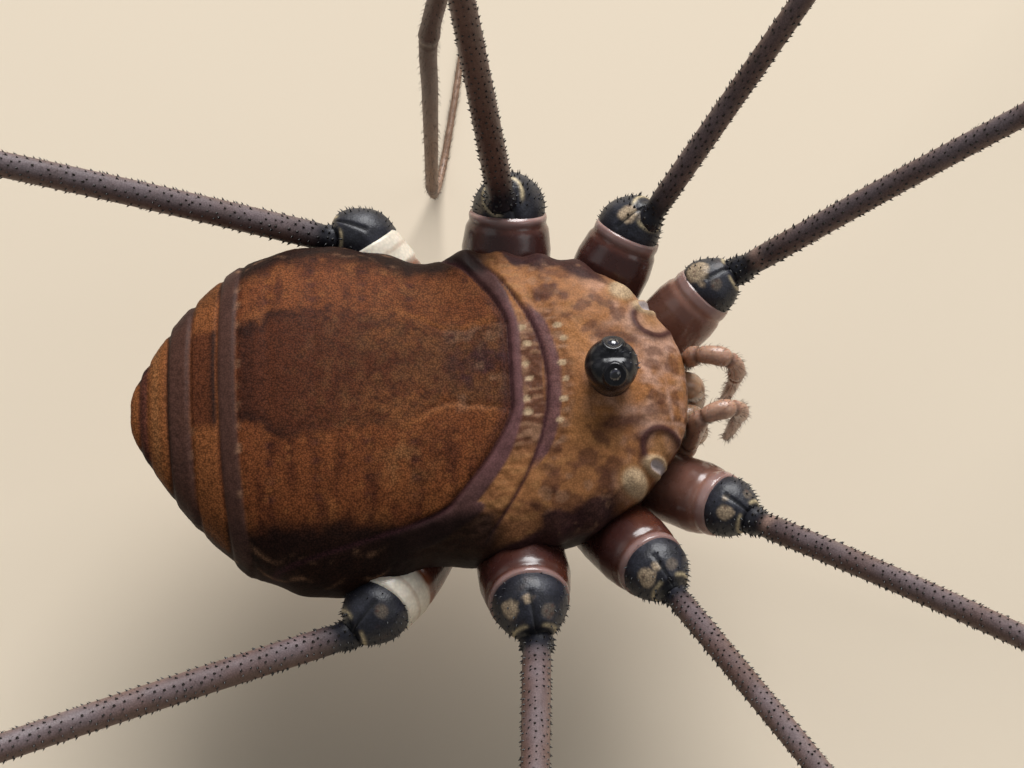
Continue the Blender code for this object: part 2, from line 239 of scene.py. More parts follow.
def heading(side: Side, sweep: float, pitch: float) -> Array:
    """A unit vector out from the body.

    Args:
        side: the side on which it leaves.
        sweep: how far it turns forwards, in degrees.
        pitch: how far it points up, in degrees.

    Returns:
        The vector.
    """
    level, ahead = math.cos(math.radians(pitch)), math.radians(sweep)
    across = side.value * level * math.cos(ahead)
    return np.array((across, -level * math.sin(ahead), math.sin(math.radians(pitch))))


def between(first: Array, second: Array, share: float) -> Array:
    """A direction turned from the first towards the second by a share of their angle."""
    return np.array(Vector(first).slerp(Vector(second), share))


@dataclass(frozen=True)
class LegSizes:
    """Sizes of one pair of legs, with places given for the left leg."""

    root: Point
    hip: Point
    coxa: float
    trochanter: tuple[float, float]
    lengths: tuple[float, float, float, float, float]
    widths: tuple[float, float, float]
    rim: float


@dataclass(frozen=True)
class Stance:
    """Angles of one leg in degrees, and where its femur starts, from the middle of the hip."""

    socket: Point
    sweep: float
    rise: float
    knee_sweep: float
    tibia_sweep: float
    tibia_drop: float
    metatarsus_sweep: float
    tarsus_sweep: float
    tarsus_curl: float
    landing: float


LEGS = {
    1: LegSizes((0.45, -1.20, 2.30), (1.62, -2.86, 3.61), 0.46, (0.78, 0.78),
                (5.7, 1.1, 4.4, 4.8, 6.4), (0.190, 0.166, 0.185), 0.20),
    2: LegSizes((0.55, -0.55, 2.15), (2.50, -1.80, 3.80), 0.50, (0.88, 0.84),
                (8.6, 1.35, 6.6, 6.2, 10.4), (0.180, 0.155, 0.172), 0.18),
    3: LegSizes((0.60, 0.15, 2.10), (2.91, -0.10, 3.78), 0.58, (0.92, 0.96),
                (6.2, 1.1, 4.4, 4.8, 6.6), (0.220, 0.190, 0.208), 0.16),
    4: LegSizes((0.70, 0.75, 2.10), (2.73, 2.00, 3.26), 0.52, (0.92, 0.86),
                (7.5, 1.25, 5.2, 6.0, 8.0), (0.200, 0.190, 0.208), 0.55),
}
STANCES = {
    (Side.LEFT, 1): Stance((0.15, 0.37, 0.10), 78.3, 40, 76, 70, 52, 68, 62, 26, 2.6),
    (Side.LEFT, 2): Stance((0.0, 0.26, 0.30), 49.3, 48, 48, 46, 54, 44, 42, 22, 3.0),
    (Side.LEFT, 3): Stance((-0.06, -0.10, 0.36), -31, 79, 32, -106, 80.5, -112, 12, -6, 1.02),
    (Side.LEFT, 4): Stance((-0.02, -0.42, 0.07), -88.7, 33, -84, -76, 46, -72, -66, -26, 2.6),
    (Side.RIGHT, 1): Stance((0.21, 0.27, 0.09), 46.6, 40, 48, 50, 52, 52, 54, 26, 2.6),
    (Side.RIGHT, 2): Stance((0.34, 0.19, 0.08), 22.6, 43, 23, 25, 52, 27, 28, 24, 3.0),
    (Side.RIGHT, 3): Stance((0.47, 0.05, -0.02), -4.2, 42, -5, -7, 54, -9, -11, -24, 2.6),
    (Side.RIGHT, 4): Stance((0.29, -0.39, 0.0), -62.9, 36, -61, -58, 48, -56, -52, -26, 2.6),
}
FEMUR_BOW, TIBIA_BOW = 0.10, 0.06
PATELLA_SPAN = (0.35, 1.65)
PATELLA_STEPS, TARSUS_STEPS = 6, 10
FOOT_RADIUS = 0.05


@dataclass(frozen=True)
class LegLine:
    """The middle line of one leg, worked out from its sizes and stance."""

    side: Side
    number: int

    @property
    def sizes(self) -> LegSizes:
        """The sizes of this leg's pair."""
        return LEGS[self.number]

    @property
    def stance(self) -> Stance:
        """The angles of this leg."""
        return STANCES[self.side, self.number]

    @property
    def name(self) -> str:
        """The start of this leg's node names."""
        return f"leg{self.number}_{self.side.word}"

    @property
    def hip(self) -> Array:
        """The middle of the trochanter."""
        return self.side.mirror(self.sizes.hip)

    @property
    def root(self) -> Array:
        """The inner end of the coxa."""
        return self.side.mirror(self.sizes.root)

    @property
    def base(self) -> Array:
        """Where the femur's line starts."""
        out, ahead, up = self.stance.socket
        return self.hip + (self.side.value * out, -ahead, up)

    @property
    def hip_axis(self) -> Array:
        """The way the trochanter points."""
        return between(unit(self.hip - self.root), unit(self.base - self.hip), 0.5)

    def bowed(self, start: Array, end: Array, bow: float, count: int) -> list[Array]:
        """Points of a gently arched line from start to end."""
        rise = [bow * math.sin(math.pi * k / count) for k in range(count + 1)]
        return [start + (end - start) * k / count + (0.0, 0.0, rise[k]) for k in range(count + 1)]

    def patella(self, start: Array, thigh: Array, shin: Array) -> list[Array]:
        """Points round the knee, turning from the femur's way to the tibia's.

        Args:
            start: the end of the femur.
            thigh: the way the femur runs.
            shin: the way the tibia runs.

        Returns:
            The points, from the femur's end on.
        """
        pose, count = self.stance, PATELLA_STEPS
        knee = heading(self.side, pose.knee_sweep, 0.5 * (pose.rise - pose.tibia_drop))
        points = [start]
        for k in range(count):
            t = PATELLA_SPAN[0] + (PATELLA_SPAN[1] - PATELLA_SPAN[0]) * (k + 0.5) / count
            way = between(thigh, knee, t) if t < 1.0 else between(knee, shin, t - 1.0)
            points.append(points[-1] + way * self.sizes.lengths[1] / count)
        return points

    def tarsus(self, ankle: Array, drop: float, floor: float) -> list[Array]:
        """Points of the tarsus, which lands on the floor and then curls along it.

        Args:
            ankle: where it starts.
            drop: how steeply the metatarsus comes down, in degrees.
            floor: the height at which it lies.

        Returns:
            The points, from the ankle on.
        """
        pose, length = self.stance, self.sizes.lengths[4]
        landing = pose.landing * math.radians(drop)
        points = [ankle]
        for k in range(TARSUS_STEPS):
            gone = length * (k + 0.5) / TARSUS_STEPS
            slope = drop * max(0.0, 1.0 - gone / landing)
            curl = pose.tarsus_curl * max(0.0, gone - landing) / (length - landing)
            way = heading(self.side, pose.tarsus_sweep + curl, -slope)
            points.append(points[-1] + way * length / TARSUS_STEPS)
        for k, point in enumerate(points):
            if length * k / TARSUS_STEPS >= landing:
                point[2] = floor
        return points

    def runs(self) -> list[list[Array]]:
        """Work out the segments from the leg's sizes and stance.

        Returns:
            Points of the femur, patella, tibia, metatarsus and tarsus, in that order.
        """
        pose, floor = self.stance, FOOT_RADIUS
        femur, _, tibia, metatarsus, _ = self.sizes.lengths
        thigh = heading(self.side, pose.sweep, pose.rise)
        shin = heading(self.side, pose.tibia_sweep, -pose.tibia_drop)
        femur_end = self.base + thigh * femur
        patella = self.patella(femur_end, thigh, shin)
        tibia_end = patella[-1] + shin * tibia
        reach = math.hypot(metatarsus, pose.landing)
        share = (tibia_end[2] - floor - pose.landing) / reach
        drop = math.degrees(math.atan2(pose.landing, metatarsus) + math.asin(min(1.0, share)))
        ankle = tibia_end + heading(self.side, pose.metatarsus_sweep, -drop) * metatarsus
        return [
            self.bowed(self.base, femur_end, FEMUR_BOW, 4),
            patella,
            self.bowed(patella[-1], tibia_end, TIBIA_BOW, 3),
            self.bowed(tibia_end, ankle, TIBIA_BOW, 3),
            self.tarsus(ankle, drop, floor),
        ]


# --- finishes ---


@dataclass(frozen=True)
class Palette:
    """Colours of the animal, linear."""

    rust: Color = (0.185, 0.056, 0.019)
    ember: Color = (0.27, 0.096, 0.031)
    ochre: Color = (0.32, 0.155, 0.060)
    saddle: Color = (0.085, 0.024, 0.011)
    bronze: Color = (0.160, 0.064, 0.025)
    pitch: Color = (0.014, 0.007, 0.006)
    plum: Color = (0.045, 0.016, 0.019)
    mauve: Color = (0.120, 0.055, 0.058)
    slate: Color = (0.060, 0.030, 0.024)
    cream: Color = (0.50, 0.36, 0.22)
    tan: Color = (0.29, 0.155, 0.09)
    amber: Color = (0.30, 0.128, 0.050)
    umber: Color = (0.080, 0.030, 0.020)
    vein: Color = (0.48, 0.30, 0.23)
    bone: Color = (0.62, 0.52, 0.40)
    ink: Color = (0.013, 0.013, 0.019)
    eye: Color = (0.006, 0.006, 0.008)
    thigh: Color = (0.135, 0.074, 0.058)
    # pale grey painted as sheen on the upper side of the legs
    bloom: Color = (0.140, 0.118, 0.132)
    belly: Color = (0.40, 0.27, 0.17)


INK = Palette()


class Paint:
    """Colours and gloss laid in coats over the points of one piece."""

    def __init__(self, count: int, base: Color, shine: float = 0.0) -> None:
        """Start with one colour everywhere."""
        self.color = np.tile(np.array(base, float), (count, 1))
        self.shine = np.full(count, shine)

    def lay(self, color: Color, mask: Array, shine: float | None = None) -> None:
        """Lay a colour over the ones that are there.

        Args:
            color: the colour.
            mask: how much of it covers each point, from 0 to 1.
            shine: the gloss laid with it, if any.
        """
        share = np.clip(mask, 0.0, 1.0)
        self.color += (np.array(color) - self.color) * share[:, None]
        if shine is not None:
            self.shine += (shine - self.shine) * share

    def shade(self, factor: Array) -> None:
        """Make the colours lighter or darker."""
        self.color *= np.maximum(factor, 0.0)[:, None]

    def put_on(self, mesh: bpy.types.Mesh) -> None:
        """Store the colours and gloss in a mesh.

        Args:
            mesh: a mesh with a vertex for each point.
        """
        tint = mesh.attributes.new("tint", "FLOAT_COLOR", "POINT")
        full = np.concatenate([np.clip(self.color, 0.0, 1.0), np.ones((len(self.color), 1))], 1)
        tint.data.foreach_set("color", full.ravel())
        shine = mesh.attributes.new("shine", "FLOAT", "POINT")
        shine.data.foreach_set("value", np.clip(self.shine, 0.0, 1.0))


class Grid:
    """A node tree being filled, with short calls to add and join nodes."""

    def __init__(self, tree: bpy.types.NodeTree) -> None:
        """Keep the tree."""
        self.tree = tree

    def add(self, kind: str, **settings: object) -> bpy.types.Node:
        """Add a node; settings are its properties, or its inputs where they name one.

        Args:
            kind: the node's type.
            **settings: properties, and inputs by name with _ for a space.

        Returns:
            The node.
        """
        node = self.tree.nodes.new(kind)
        for key, value in settings.items():
            if hasattr(node, key):
                setattr(node, key, value)
        for key, value in settings.items():
            name = key.replace("_", " ")
            if not hasattr(node, key) and name in node.inputs:
                self.feed(node.inputs[name], value)
        return node

    def feed(self, socket: bpy.types.NodeSocket, value: object) -> None:
        """Join a socket to another one, or give it a plain value.

        Args:
            socket: the input.
            value: an output socket or a plain value.
        """
        if isinstance(value, bpy.types.NodeSocket):
            self.tree.links.new(value, socket)
        else:
            socket.default_value = value

    def sum(self, operation: str, first: object, second: object = 0.0,
            third: object = 0.0) -> bpy.types.NodeSocket:
        """Add a Math node.

        Args:
            operation: what it works out.
            first: a socket or a number.
            second: the second one.
            third: the third one.

        Returns:
            Its result.
        """
        node = self.add("ShaderNodeMath", operation=operation)
        for socket, value in zip(node.inputs, (first, second, third)):
            self.feed(socket, value)
        return node.outputs[0]

    def blend(self, way: str, share: object, first: object, second: object
              ) -> bpy.types.NodeSocket:
        """Add a colour Mix node.

        Args:
            way: how it mixes.
            share: how much of the second colour there is.
            first: a socket or a colour.
            second: the other one.

        Returns:
            Its result.
        """
        node = self.add("ShaderNodeMix", data_type="RGBA", blend_type=way)
        for socket, value in zip((node.inputs[0], node.inputs[6], node.inputs[7]),
                                 (share, first, second)):
            self.feed(socket, value)
        return node.outputs[2]


def granule_group() -> bpy.types.NodeTree:
    """Fine granules of a leathery shell, packed side by side.

    Returns:
        A group with Scale in, and Shade and Height out, both from 0 to 1.
    """
    tree = bpy.data.node_groups.new("granules", "ShaderNodeTree")
    tree.interface.new_socket("Scale", in_out="INPUT", socket_type="NodeSocketFloat")
    tree.interface.new_socket("Shade", in_out="OUTPUT", socket_type="NodeSocketFloat")
    tree.interface.new_socket("Height", in_out="OUTPUT", socket_type="NodeSocketFloat")
    grid = Grid(tree)
    inputs, outputs = grid.add("NodeGroupInput"), grid.add("NodeGroupOutput")
    where = grid.add("ShaderNodeTexCoord").outputs["Object"]
    cells = grid.add("ShaderNodeTexVoronoi", feature="F1", Vector=where,
                     Scale=inputs.outputs[0], Randomness=0.85)
    half = grid.sum("MULTIPLY", inputs.outputs[0], 0.37)
    coarse = grid.add("ShaderNodeTexNoise", Vector=where, Scale=half, Detail=2.0)
    dome = grid.sum("SUBTRACT", 1.0, cells.outputs["Distance"])
    height = grid.sum("MULTIPLY_ADD", coarse.outputs[0], 0.6, dome)
    grid.feed(outputs.inputs["Height"], grid.sum("MULTIPLY", height, 0.7))
    # Shade is low between granules, where the material darkens the colour: partly painted shade in
    # the hollows, partly the granules' own flecked tone
    shade = grid.add("ShaderNodeMapRange", Value=dome, From_Min=0.25, From_Max=0.8)
    grid.feed(outputs.inputs["Shade"], shade.outputs[0])
    return tree


def mottle_group() -> bpy.types.NodeTree:
    """Cloudy unevenness of a pigment.

    Returns:
        A group with Scale in, and a Value out that strays round 0.5.
    """
    tree = bpy.data.node_groups.new("mottle", "ShaderNodeTree")
    tree.interface.new_socket("Scale", in_out="INPUT", socket_type="NodeSocketFloat")
    tree.interface.new_socket("Value", in_out="OUTPUT", socket_type="NodeSocketFloat")
    grid = Grid(tree)
    inputs, outputs = grid.add("NodeGroupInput"), grid.add("NodeGroupOutput")
    where = grid.add("ShaderNodeTexCoord").outputs["Object"]
    cloud = grid.add("ShaderNodeTexNoise", Vector=where, Scale=inputs.outputs[0], Detail=4.0,
                     Roughness=0.6)
    grid.feed(outputs.inputs["Value"], cloud.outputs[0])
    return tree


@dataclass(frozen=True)
class Finish:
    """How one kind of surface looks besides its colours: gloss, granules and unevenness.

    Roughness goes from dull to glossy with the painted shine. Sizes are in millimetres.
    """

    name: str
    slot: str
    dull: float
    glossy: float
    granule: float = 0.04
    relief: float = 0.004
    # how much darker the colour is between granules: partly painted shade, partly flecked tone
    shade: float = 0.3
    cloud: float = 0.25
    uneven: float = 0.3
    coat: float = 0.0
    glow: float = 0.0
    specular: float = 0.5

    def make(self, groups: dict[str, bpy.types.NodeTree]) -> bpy.types.Material:
        """Build the material.

        Args:
            groups: the shared node groups by name.

        Returns:
            The material, which reads the piece's tint and shine.
        """
        material = bpy.data.materials.new(self.name)
        material.use_nodes = True
        grid = Grid(material.node_tree)
        shader = material.node_tree.nodes["Principled BSDF"]
        tint = grid.add("ShaderNodeAttribute", attribute_name="tint").outputs["Color"]
        shine = grid.add("ShaderNodeAttribute", attribute_name="shine").outputs["Fac"]
        grains = grid.add("ShaderNodeGroup", node_tree=groups["granules"])
        grains.inputs["Scale"].default_value = 1.0 / (self.granule * MM)
        clouds = grid.add("ShaderNodeGroup", node_tree=groups["mottle"])
        clouds.inputs["Scale"].default_value = 1.0 / (self.cloud * MM)
        rough = grid.sum("SUBTRACT", 1.0, shine)
        # darker between granules where dull: partly painted shade in the hollows, partly flecked
        # tone
        dark = grid.sum("MULTIPLY", grid.sum("SUBTRACT", 1.0, grains.outputs["Shade"]),
                        grid.sum("MULTIPLY", rough, self.shade))
        cloudy = grid.sum("MULTIPLY_ADD", clouds.outputs["Value"], 2.0 * self.uneven,
                          1.0 - self.uneven)
        light = grid.sum("MULTIPLY", grid.sum("SUBTRACT", 1.0, dark), cloudy)
        tone = grid.add("ShaderNodeCombineColor", Red=light, Green=light, Blue=light).outputs[0]
        grid.feed(shader.inputs["Base Color"], grid.blend("MULTIPLY", 1.0, tint, tone))
        level = grid.sum("MULTIPLY_ADD", shine, self.glossy - self.dull, self.dull)
        wavy = grid.sum("MULTIPLY_ADD", clouds.outputs["Value"], 0.2, -0.1)
        grid.feed(shader.inputs["Roughness"], grid.sum("ADD", level, wavy))
        lift = grid.sum("MULTIPLY", grains.outputs["Height"],
                        grid.sum("MULTIPLY_ADD", shine, -0.85, 1.0))
        bump = grid.add("ShaderNodeBump", Height=lift, Distance=self.relief * MM, Strength=1.0)
        grid.feed(shader.inputs["Normal"], bump.outputs[0])
        shader.inputs["Specular IOR Level"].default_value = self.specular
        shader.inputs["Coat Weight"].default_value = self.coat
        shader.inputs["Coat Roughness"].default_value = 0.18
        shader.inputs["Subsurface Weight"].default_value = self.glow
        shader.inputs["Subsurface Radius"].default_value = (1.0, 0.45, 0.25)
        shader.inputs["Subsurface Scale"].default_value = 0.15 * MM
        return material


FINISHES = {
    "leather": Finish("leathery_back", "abdomen", 0.60, 0.34, granule=0.026, relief=0.0035,
                      shade=0.62, cloud=0.10, uneven=0.38, specular=0.06),
    "shell": Finish("polished_coxa", "carapace", 0.42, 0.22, granule=0.05, relief=0.003,
                    shade=0.2, cloud=0.3, uneven=0.25, coat=0.35, glow=0.2, specular=0.4),
    "hip": Finish("blue_black_hip", "hip_black", 0.46, 0.28, granule=0.030, relief=0.004,
                  shade=0.5, cloud=0.2, uneven=0.35, specular=0.40),
    "leg": Finish("mauve_brown_leg", "leg_brown", 0.46, 0.28, granule=0.026, relief=0.003,
                  shade=0.35, cloud=0.25, uneven=0.25, specular=0.35),
    "hill": Finish("glossy_eye_hill", "eye_black", 0.36, 0.20, granule=0.05, relief=0.0015,
                   shade=0.2, cloud=0.2, uneven=0.3, coat=0.1, specular=0.35),
    "eye": Finish("wet_eye", "eye_black", 0.10, 0.04, granule=0.05, relief=0.0005,
                  shade=0.0, cloud=0.2, uneven=0.1, coat=1.0),
    "palp": Finish("waxy_palp", "mouthparts", 0.42, 0.22, granule=0.04, relief=0.004,
                   shade=0.25, cloud=0.2, uneven=0.25, coat=0.2, glow=0.4),
    "bristle": Finish("black_bristle", "hip_black", 0.40, 0.25, granule=0.05, relief=0.001,
                      shade=0.1, cloud=0.3, uneven=0.2),
    "hair": Finish("fine_brown_hair", "foot_brown", 0.45, 0.30, granule=0.05, relief=0.001,
                   shade=0.1, cloud=0.3, uneven=0.2),
}


class Workshop:
    """Makes materials once and turns finished meshes into pieces of the model."""

    def __init__(self) -> None:
        """Build the shared node groups and the materials."""
        groups = {"granules": granule_group(), "mottle": mottle_group()}
        self.materials = {key: finish.make(groups) for key, finish in FINISHES.items()}
        self.collection = bpy.data.collections.new("harvestman")
        bpy.context.scene.collection.children.link(self.collection)

    def hand_over(self, name: str, mesh: bpy.types.Mesh, finish: str,
                  nodes: Sequence[str] = ()) -> bpy.types.Object:
        """Place a finished mesh on the body of the model.

        Args:
            name: the piece's name.
            mesh: its mesh, in the frame's place.
            finish: the key of its finish.
            nodes: the solids that it stands for.

        Returns:
            The piece.
        """
        mesh.materials.append(self.materials[finish])
        mesh.shade_smooth()
        item = bpy.data.objects.new(name, mesh)
        self.collection.objects.link(item)
        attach(item, "root")
        if nodes:
            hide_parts(*nodes)
        mesh.calc_loop_triangles()
        log.info("%s: %d triangles", name, len(mesh.loop_triangles))
        return item


# --- skins and coats ---


class Skin:
    """A closed skin of rings between two poles, started from a ball and laid by number.

    `row` counts the rings from the first pole to the last and `turn` is the angle round a
    ring, for every point.
    """

    def __init__(self, name: str, rows: int, sides: int) -> None:
        """Start the ball.

        Args:
            name: the mesh's name.
            rows: how many faces lie from pole to pole.
            sides: how many lie round it.
        """
        form = bmesh.new()
        bmesh.ops.create_uvsphere(form, u_segments=sides, v_segments=rows, radius=1.0)
        self.mesh = bpy.data.meshes.new(name)
        form.to_mesh(self.mesh)
        form.free()
        ball = np.empty(3 * len(self.mesh.vertices))
        self.mesh.vertices.foreach_get("co", ball)
        ball = ball.reshape(-1, 3)
        polar = np.arctan2(np.hypot(ball[:, 0], ball[:, 1]), ball[:, 2])
        self.rows = rows
        self.row = np.rint(polar / math.pi * rows).astype(int)
        self.turn = np.arctan2(ball[:, 1], ball[:, 0])
        self.points = ball

    def lay(self, points: Array) -> None:
        """Move the points of the skin.

        Args:
            points: their places, in body millimetres.
        """
        self.points = points
        self.mesh.vertices.foreach_set("co", place(points).ravel())
        self.mesh.update()

    def face_out(self) -> None:
        """Turn the faces outwards."""
        form = bmesh.new()
        form.from_mesh(self.mesh)
        bmesh.ops.recalc_face_normals(form, faces=form.faces)
        form.to_mesh(self.mesh)
        form.free()

    def normals(self) -> Array:
        """Read which way the skin faces.

        Returns:
            The outward direction at every point.
        """
        found = np.empty(3 * len(self.mesh.vertices))
        self.mesh.vertices.foreach_get("normal", found)
        return found.reshape(-1, 3)


def carried_frames(line: Array, up: Array) -> tuple[Array, Array, Array]:
    """Directions along, up from and across a line, carried along it without twist.

    Args:
        line: points of the line.
        up: roughly which way is up at its start.

    Returns:
        The three directions at each point.
    """
    ahead = unit(np.gradient(line, axis=0))
    tops = np.empty_like(line)
    top = np.asarray(up, float)
    for k, way in enumerate(ahead):
        top = unit(top - way * np.dot(top, way))
        tops[k] = top
    return ahead, tops, np.cross(ahead, tops)


@dataclass
class Tube:
    """A round skin along a curve, with rounded ends.

    Places along it are kept in `gone`, in millimetres from its start, for every point.
    """

    name: str
    line: Array
    rows: int
    sides: int
    up: Point = (0.0, 0.0, 1.0)
    weight: Array | None = None
    skin: Skin = field(init=False)
    gone: Array = field(init=False)
    row_gone: Array = field(init=False)
    middles: Array = field(init=False)
    ahead: Array = field(init=False)
    tops: Array = field(init=False)
    across: Array = field(init=False)

    def __post_init__(self) -> None:
        """Work out the rings' middles and directions."""
        self.skin = Skin(self.name, self.rows, self.sides)
        places, self.row_gone = spread_rows(self.line, self.rows, self.weight)
        self.middles = along_rows(self.line, places)
        self.ahead, self.tops, self.across = carried_frames(self.middles, np.array(self.up))
        self.gone = self.row_gone[self.skin.row]

    @property
    def length(self) -> float:
        """The whole length of the line."""
        return float(self.row_gone[-1])

    def spokes(self) -> Array:
        """The way out from the line at every point; turn 0 is up."""
        row, turn = self.skin.row, self.skin.turn
        return np.cos(turn)[:, None] * self.tops[row] + np.sin(turn)[:, None] * self.across[row]

    def ends(self, radius: Array, start: float, end: float) -> Array:
        """Round off both ends.

        Args:
            radius: the radius at every point.
            start: over how many radii at the start.
            end: over how many at the end.

        Returns:
            The share of the radius left at every point.
        """
        near = np.clip(self.gone / (radius * start + 1e-9), 0.0, 1.0)
        far = np.clip((self.length - self.gone) / (radius * end + 1e-9), 0.0, 1.0)
        return np.sqrt(np.clip(1.0 - (1.0 - near) ** 2, 0, 1)
                       * np.clip(1.0 - (1.0 - far) ** 2, 0, 1))

    def wrap(self, radius: Array) -> Array:
        """Lay the skin at a distance from its line.

        Args:
            radius: the distance for every point.

        Returns:
            The points.
        """
        points = self.middles[self.skin.row] + self.spokes() * radius[:, None]
        self.skin.lay(points)
        self.skin.face_out()
        return points


@dataclass(frozen=True)
class Bristle:
    """The shape of one hair or denticle, with a length and width of one."""

    sides: int
    joints: int
    bend: float
    skirt: float = 0.0

    def form(self) -> tuple[Array, Array]:
        """Draw a ring out into a narrowing, bent shape.

        Returns:
            Its points and its triangles.
        """
        form = bmesh.new()
        bmesh.ops.create_circle(form, segments=self.sides, radius=1.0 + self.skirt, cap_ends=True)
        edges = form.edges[:]
        steps = [(0.12, 0.0, 0.9)] if self.skirt else []
        steps += [(k / self.joints, self.bend * (k / self.joints) ** 2,
                   1.0 - 0.93 * k / self.joints) for k in range(1, self.joints + 1)]
        past, before = (0.0, 0.0), 1.0 + self.skirt
        for height, lean, width in steps:
            made = bmesh.ops.extrude_edge_only(form, edges=edges)["geom"]
            ring = [part for part in made if isinstance(part, bmesh.types.BMVert)]
            edges = [part for part in made if isinstance(part, bmesh.types.BMEdge)]
            middle = Vector((past[1], 0.0, past[0]))
            bmesh.ops.translate(form, vec=-middle, verts=ring)
            share = width / before
            bmesh.ops.scale(form, vec=Vector((share, share, 1.0)), verts=ring)
            bmesh.ops.translate(form, vec=Vector((lean, 0.0, height)), verts=ring)
            past, before = (height, lean), width
        bmesh.ops.contextual_create(form, geom=edges)
        bmesh.ops.triangulate(form, faces=form.faces[:])
        bmesh.ops.recalc_face_normals(form, faces=form.faces[:])
        form.verts.index_update()
        points = np.array([vert.co[:] for vert in form.verts])
        corners = np.array([[vert.index for vert in face.verts] for face in form.faces])
        form.free()
        return points, corners


BAKE_PATCH, FLOOR_GAP = 0.003, 0.001
SPINE = Bristle(sides=6, joints=2, bend=0.45, skirt=0.5)
HAIR = Bristle(sides=3, joints=3, bend=0.35)


@dataclass
class Coat:
    """Many bristles joined into one mesh, each rooted in the skin."""

    name: str
    bristle: Bristle
    roots: list[Array] = field(default_factory=list)

    def plant(self, at: Array, out: Array, lie: Array, length: Array, width: Array,
              spot: Array) -> None:
        """Add bristles.

        Args:
            at: the roots, in body millimetres.
            out: which way the skin faces there.
            lie: which way the tips lean.
            length: how long each one is.
            width: half as wide as each one is at its root.
            spot: where each root is on the unwrapped skin.
        """
        lie = unit(lie - out * np.sum(lie * out, axis=1, keepdims=True))
        self.roots.append(np.concatenate([at, out, lie, length[:, None], width[:, None], spot], 1))

    def mesh(self) -> bpy.types.Mesh:
        """Join the bristles, each with a patch of its own on the map.

        Returns:
            The mesh.
        """
        rows = np.concatenate(self.roots)
        at, out, lie = rows[:, 0:3], rows[:, 3:6], rows[:, 6:9]
        length, width, spot = rows[:, 9:10], rows[:, 10:11], rows[:, 11:13]
        across = np.cross(out, lie)
        points, corners = self.bristle.form()
        bend = points[:, 2:3] ** 2 * self.bristle.bend
        laid = []
        for point, lean in zip(points, bend[:, 0]):
            side = (point[0] - lean) * width + lean * length
            laid.append(at + out * (point[2] * length - 0.25 * width) + lie * side
                        + across * point[1] * width)
        laid = np.stack(laid, axis=1)
        laid[..., 2] = np.maximum(laid[..., 2], FLOOR_GAP)
        faces = corners[None] + (np.arange(len(rows)) * len(points))[:, None, None]
        mesh = bpy.data.meshes.new(self.name)
        mesh.vertices.add(laid.shape[0] * laid.shape[1])
        mesh.vertices.foreach_set("co", place(laid.reshape(-1, 3)).ravel())
        flat = faces.reshape(-1, 3)
        mesh.loops.add(flat.size)
        mesh.loops.foreach_set("vertex_index", flat.ravel())
        mesh.polygons.add(len(flat))
        mesh.polygons.foreach_set("loop_start", np.arange(0, flat.size, 3))
        mesh.update(calc_edges=True)
        low = points[:, :2].min(0)
        local = (points[:, [0, 2]] - (low[0], 0.0)) / (np.ptp(points[:, 0]) + 1e-6, 1.0)
        patch = spot[:, None, :] + BAKE_PATCH * local[None]
        layer = mesh.uv_layers.new(name="OFBake")
        layer.data.foreach_set("uv", patch.reshape(-1, 2)[flat.ravel()].ravel())
        return mesh

    def hand_over(self, shop: Workshop, color: Color, shine: float, finish: str) -> None:
        """Join the bristles, paint them one colour and place them on the body.

        Args:
            shop: takes the finished piece.
            color: their colour.
            shine: their gloss.
            finish: the key of their finish.
        """
        mesh = self.mesh()
        Paint(len(mesh.vertices), color, shine).put_on(mesh)
        shop.hand_over(self.name, mesh, finish)


# --- trunk ---

# Places on the trunk, in body millimetres; those with an X are the left one of a pair
HILL_Y = -1.31
PORE, PORE_SIZE = (1.13, -1.86), (0.085, 0.13)
LOBE, BROW = (1.36, -1.55), (0.93, -1.95)
SEGMENT_GROOVES = (1.30, 1.95, 2.62, 3.24)
SEGMENT_LINES = (1.32, 1.95, 2.62, 3.24)
BELLY_FOLDS = (1.75, 2.25, 2.75, 3.25, 3.70)
SCALLOP_STEP, PAD_STEP, PAD_START = 0.52, 0.66, 1.62


@dataclass(frozen=True)
class Blot:
    """A soft-edged patch of colour on the back, at a place in plan."""

    x: float
    y: float
    wide: float
    long: float
    turn: float = 0.0

    def mask(self, x: Array, y: Array, ragged: Array) -> Array:
        """How much of the patch lies at each place.

        Args:
            x: places across the body.
            y: places along it.
            ragged: how far its edge strays there, in half widths.

        Returns:
            Shares from 0 to 1.
        """
        cos, sin = math.cos(math.radians(self.turn)), math.sin(math.radians(self.turn))
        dx, dy = x - self.x, y - self.y
        across = (dx * cos + dy * sin) / self.wide
        along = (dy * cos - dx * sin) / self.long
        return smooth(1.25, 0.7, np.hypot(across, along) + ragged)


